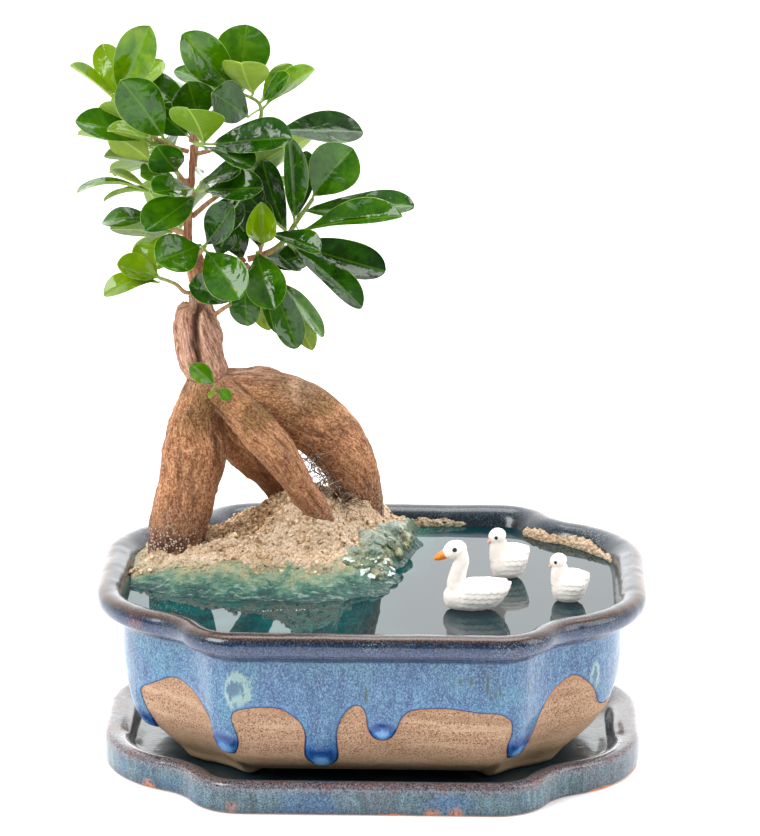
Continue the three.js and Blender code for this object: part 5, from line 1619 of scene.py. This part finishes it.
def makeLeafFinish():
    material = beginFinish("figLeaf")
    blade, looks = (newNode("SeparateXYZ", {"Vector": layer(name, "Vector")}) for name in ("blade", "looks"))
    across, t, wide = (blade[k] for k in "XYZ")
    tone, under, onBlade = (looks[k] for k in "XYZ")
    side = calc("ABSOLUTE", across)
    mottle, fine = noise(130, 3, 0.6, 0.5), noise(900, 3, 0.6)
    shade = plus(tone, spread(mottle, 0.3, 0.7, 0.16, -0.16))
    top = ramp(shade, [
        (0.0, 14, 44, 4), (0.25, 30, 76, 2), (0.5, 62, 110, 0), (0.75, 106, 138, 2), (1.0, 108, 134, 0),
    ])
    below = ramp(shade, [(0.0, 66, 92, 30), (0.4, 104, 134, 42), (0.8, 134, 158, 42), (0.92, 92, 126, 0)])
    # side veins run out and forwards from the midrib
    cycle = calc("FRACT", times(less(t, times(side, 0.16)), 11))
    vein = spread(calc("ABSOLUTE", less(cycle, 0.5)), 0.1, 0.02)
    vein = times(vein, spread(side, 0.92, 0.6))
    rib = spread(times(side, wide), 0.62, 0.2)
    green = coats(top, [
        (times(vein, 0.06), 100, 140, 30),
        (times(rib, spread(tone, 0, 1, 0.7, 0.3)), 96, 136, 30),
    ])
    pale = coats(below, [(times(vein, 0.2), 150, 176, 84), (times(rib, 0.6), 164, 188, 84)])
    skin = coats(green, [(under, pale), (times(spread(side, 0.965, 0.99), 0.75), 158, 186, 88)])
    stalk = blend(fine, colour(120, 150, 60), colour(150, 174, 84))
    relief = less(times(noise(120, 2, 0.4, 0.8), 3), times(vein, 0.05))
    return endFinish(
        material, blend(onBlade, stalk, skin), spread(under, 0, 1, 0.5, 0.1), (relief, 0.35, 0.8),
        {"Specular IOR Level": 0.36},
    )


def makeTwigFinish():
    material = beginFinish("greenTwig")
    grain = noise(900, 4, 0.7, at=stretched((1, 1, 0.4)))
    old = ramp(grain, [(0.35, 120, 84, 50), (0.6, 176, 130, 92)])
    young = ramp(grain, [(0.35, 104, 128, 52), (0.65, 146, 164, 84)])
    return endFinish(material, blend(spread(layer("length"), 1.2, 3), old, young), 0.55, (grain, 0.3, 0.7))


leafFinish, twigFinish = makeLeafFinish(), makeTwigFinish()
leafCount = 0


def growShoot(name, node, shoot):
    global leafCount
    meshes = [paintFaces(limbMesh(twig, 10, 6), 1) for twig in shoot["twigs"]]
    for row in shoot["leaves"]:
        meshes.append(leafMesh(shoot["twigs"], row, leafCount))
        leafCount += 1
    makePiece(name, meshes, [leafFinish, twigFinish], [node])


for name, shoot in shoots.items():
    growShoot(name.replace("shoot", "leaves"), name, shoot)
for name, rule in backShoots.items():
    growShoot(name.replace("shoot", "leaves"), name, growBackShoot(rule))
growShoot("leaves_on_trunk", "trunk_sprout", sprout)
print("leaves grown")


# A moulded bird that faces -X. Body and wing rows are x, half width, middle and half height; neck and
# head rows are x, y, z, radius.
grownSwan = {
    "body": [
        (-14.4, 1.4, 5.5, 2), (-12, 4.8, 5.6, 5), (-6, 6.8, 6, 6.4), (1, 7.4, 6.4, 6.8), (8, 5.8, 7.2, 5.8),
        (12.6, 3.2, 9.2, 3.4), (15, 0.9, 11.6, 1.2),
    ],
    "wing": [
        (-7, 0.8, 7, 1.8), (-4, 2.2, 7.6, 4.4), (3, 2.5, 8, 4.8), (9, 1.7, 8.8, 3.6), (13.6, 0.5, 10.6, 1.2),
    ],
    "wingSpread": 5.6,
    "neck": [
        (-8, 0, 8, 5), (-8.8, 0, 12.5, 4.1), (-7.8, 0, 17.4, 3.5), (-6.6, 0, 22, 3.3), (-7.4, 0, 26, 3.2),
    ],
    "head": [
        (-4.6, 0, 27, 1), (-6.2, 0, 27.4, 3.1), (-9.4, 0, 27.2, 4.1), (-12.4, 0, 25.8, 3.3), (-14, 0, 25, 2),
    ],
    "beak": [(-13, 0, 25.3, 2), (-14.6, 0, 24.6, 2), (-16.6, 0, 23.6, 1.6), (-18.4, 0, 22.9, 0.8)],
    "eye": (-9.6, 3.25, 28, 1.2),
}
cygnetShape = {
    "body": [
        (-8.4, 1.2, 6.4, 1.8), (-6.8, 4.4, 6.8, 6), (-2.6, 6.2, 7.4, 7.9), (2.4, 6.2, 7.8, 8),
        (6.4, 4.2, 9, 6), (9, 1, 12.4, 1.8),
    ],
    "wing": [(-4, 0.8, 7.4, 1.6), (-1.6, 2, 7.8, 4.1), (3.2, 2, 8.2, 4.1), (7.4, 0.6, 9.2, 1.4)],
    "wingSpread": 4.4,
    "neck": [(-4, 0, 9, 5), (-4.8, 0, 13.6, 4.2), (-5, 0, 17.4, 3.5)],
    "head": [
        (-1.8, 0, 19, 1), (-3.2, 0, 19.2, 3.2), (-5.4, 0, 19, 4), (-7.6, 0, 18, 3), (-8.6, 0, 17.4, 1.6),
    ],
    "beak": [(-7.8, 0, 17.4, 1.3), (-8.9, 0, 16.8, 1), (-9.8, 0, 16.2, 0.4)],
    "eye": (-6.4, 3.1, 19.5, 0.95),
}
birds = {
    "resin_swan": {"node": "swan", "shape": grownSwan, "at": (46, -34), "turn": 0, "size": 1, "beak": 1},
    "resin_cygnet_1": {
        "node": "cygnet_1", "shape": cygnetShape, "at": (60.5, 11), "turn": 8, "size": 1, "beak": 3,
    },
    "resin_cygnet_2": {
        "node": "cygnet_2", "shape": cygnetShape, "at": (87, -22), "turn": -6, "size": 0.95, "beak": 3,
    },
}


def eggMesh(rows, shift):
    fine = smoothRows(rows, 6)
    last = len(fine) - 1

    def place(u, v):
        at = fine[np.rint(v * last).astype(int)]
        angle = 2 * math.pi * u
        y = shift + np.maximum(at[:, 1], 0.1) * np.cos(angle)
        z = np.maximum(0, at[:, 2] + np.maximum(at[:, 3], 0.1) * np.sin(angle))
        return stack(at[:, 0], y, z), {}

    return wrapGrid(32, last, place)


def birdMesh(form):
    meshes = [eggMesh(form["body"], 0), limbMesh(form["neck"], 24, 6), limbMesh(form["head"], 24, 6)]
    meshes += [eggMesh(form["wing"], side * form["wingSpread"]) for side in (-1, 1)]
    mesh = meltMeshes("bird", meshes, 0.34, 4)
    points, normals = readRows(mesh, "co") / mm, readRows(mesh, "normal")
    x, _, z = points.T
    sideways = smoothStep(0.2, 0.6, np.abs(normals[:, 1]) + 0.5 * np.maximum(normals[:, 2], 0))
    onBody = smoothStep(13.5, 11.5, z) * smoothStep(1, 2.5, z)
    onBody *= smoothStep(form["body"][1][0], form["body"][2][0] + 2, x)
    # feathers in staggered rows, with fine barbs
    line = z / 2.3
    stagger = x / 3.1 + 0.5 * (np.floor(line) % 2) + 0.22 * line
    fx, fz = stagger % 1 - 0.5, line % 1
    feather = smoothStep(1.12, 0.9, np.hypot(1.5 * fx, fz - 0.9)) * (1 - 0.7 * fz)
    barbs = 0.5 + 0.5 * np.sin(9 * x + 3 * z)
    lift = onBody * sideways * (0.42 * feather + 0.06 * barbs)
    lift += 0.12 * cloud(points, 2.5, 4) + 0.06 * cloud(points, 0.9, 5)
    points = points + normals * lift[:, None]
    points[:, 2] = np.maximum(points[:, 2], 0)
    writePoints(mesh, points * mm)
    # how sunk the creases between feathers lie, which the finish darkens as painted shade
    setLayers(mesh, {"creaseShade": -(feather * 0.6 + lift) * onBody})
    return mesh


def makeBirdPiece(name, bird):
    form = bird["shape"]
    x, y, z, radius = form["eye"]
    eyes = [ballAt(Vector((x, side * y, z)) * mm, turned(0), (radius * mm,) * 3) for side in (-1, 1)]
    beak = limbMesh(form["beak"], 20, 6)
    meshes = [birdMesh(form), paintFaces(beak, bird["beak"]), paintFaces(strewBalls("eyes", eyes, 3), 2)]
    at = Matrix.Translation(Vector((*bird["at"], poolShape["top"] + 0.02)) * mm)
    for mesh in meshes:
        mesh.transform(at @ turned(math.radians(bird["turn"])) @ Matrix.Scale(bird["size"], 4))
    makePiece(name, meshes, birdFinishes, [bird["node"]])


def makeFeather():
    material = beginFinish("glowingFeatherPaint")
    worn = noise(420, 4, 0.6)
    white = ramp(worn, [(0.3, 240, 232, 222), (0.55, 254, 248, 240), (0.8, 255, 252, 248)])
    # painted shade: darker in the creases between feathers
    white = coats(white, [(spread(layer("creaseShade"), -0.25, 0.08, 0.4), 216, 198, 186)])
    # painted light: a faint warm glow in the white paint
    return endFinish(material, white, spread(worn, 0.3, 0.7, 0.42, 0.6), (worn, 0.2, 0.5), {
        "Emission Color": (1, 0.96, 0.92, 1), "Emission Strength": 0.12,
        "Subsurface Weight": 0.15, "Subsurface Scale": 0.002,
    })


birdFinishes = [
    makeFeather(),
    plainFinish("beakPaint", 700, 3, [(0.35, 226, 112, 8), (0.6, 246, 150, 24)], 0.35),
    plainFinish("eyePaint", 900, 2, [(0.4, 14, 12, 12), (0.7, 34, 28, 26)], 0.1),
    plainFinish("youngBeakPaint", 700, 3, [(0.35, 220, 132, 116), (0.6, 244, 196, 180)], 0.35),
]
for name, bird in birds.items():
    makeBirdPiece(name, bird)
print("birds set on the resin")


# Soil under the sand and resin keeps its plain solid, in a crumbly finish.
def makeSoil():
    material = beginFinish("pottingSoil")
    crumbs = useGroup(speckGroup, Scale=420, Amount=0.4)
    earth = ramp(crumbs["Grain"], [(0.3, 30, 20, 14), (0.55, 66, 48, 34), (0.75, 104, 82, 60)])
    earth = coats(earth, [(times(crumbs["Specks"], 0.5), 136, 118, 96)])
    return endFinish(material, earth, 0.95, (crumbs["Grain"], 1.2, 0.9))


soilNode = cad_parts["potting_soil"]
soilNode.data.materials.clear()
soilNode.data.materials.append(makeSoil())

# The camera that fits the photograph, in metres and degrees.
photo = {
    "target": (0.0029, 0, 0.1525), "distance": 2.033, "elevation": 16.31, "yaw": 1.33, "roll": 0.165,
    "lens": 199.16, "sensor": 36,
}


def makeCamera():
    up, yaw, roll = (math.radians(photo[key]) for key in ("elevation", "yaw", "roll"))
    back = Vector((math.sin(yaw) * math.cos(up), -math.cos(yaw) * math.cos(up), math.sin(up)))
    data = bpy.data.cameras.new("camera")
    data.sensor_width, data.lens = photo["sensor"], photo["lens"]
    data.clip_start, data.clip_end = 0.1, 30
    camera = newObject("camera", data)
    turn = (-back).to_track_quat("-Z", "Y").to_matrix().to_4x4()
    at = Matrix.Translation(Vector(photo["target"]) + back * photo["distance"])
    camera.matrix_world = at @ turn @ turned(roll)
    bpy.context.scene.camera = camera


# A pale floor, a soft box at each side and one above, and a sky that is brighter behind the object.
studio = {
    "front": 0.28, "back": 2.6, "floorSize": 6, "floorGlow": 0.2,
    "boxes": [  # name, place, size, power
        ("keyBox", (-1.3, -1.1, 1.5), (1.0, 1.2), 39),
        ("sideBox", (1.6, -0.5, 0.9), (0.8, 1.4), 12),
        ("topBox", (0.1, 0.5, 2.1), (1.6, 1.2), 26),
    ],
}


def makeStudio():
    shape = bmesh.new()
    bmesh.ops.create_grid(shape, x_segments=8, y_segments=8, size=studio["floorSize"] / 2)
    floor = newObject("floor", closeShape(shape, bpy.data.meshes.new("floor")))
    glow = {"Emission Color": (1, 1, 1, 1), "Emission Strength": studio["floorGlow"]}
    floor.data.materials.append(endFinish(beginFinish("paleFloor"), (0.93, 0.93, 0.93, 1), 0.9, None, glow))
    world = bpy.data.worlds.new("studio")
    world.use_nodes = True
    work["tree"] = world.node_tree
    way = newNode("SeparateXYZ", {"Vector": newNode("TexCoord", {})["Generated"]})["Y"]
    sky = world.node_tree.nodes["Background"]
    put(sky, "Color", (1, 1, 1, 1))
    put(sky, "Strength", spread(way, -0.6, 0.95, studio["back"], studio["front"]))
    bpy.context.scene.world = world
    for name, place, size, power in studio["boxes"]:
        data = bpy.data.lights.new(name, "AREA")
        data.shape, data.size, data.size_y, data.energy = "RECTANGLE", *size, power
        light = newObject(name, data)
        light.location = place
        light.rotation_euler = (Vector((0, 0, 0.12)) - Vector(place)).to_track_quat("-Z", "Y").to_euler()
    bpy.context.scene.view_settings.view_transform = "Standard"


makeCamera()
makeStudio()
print("camera and lights set")
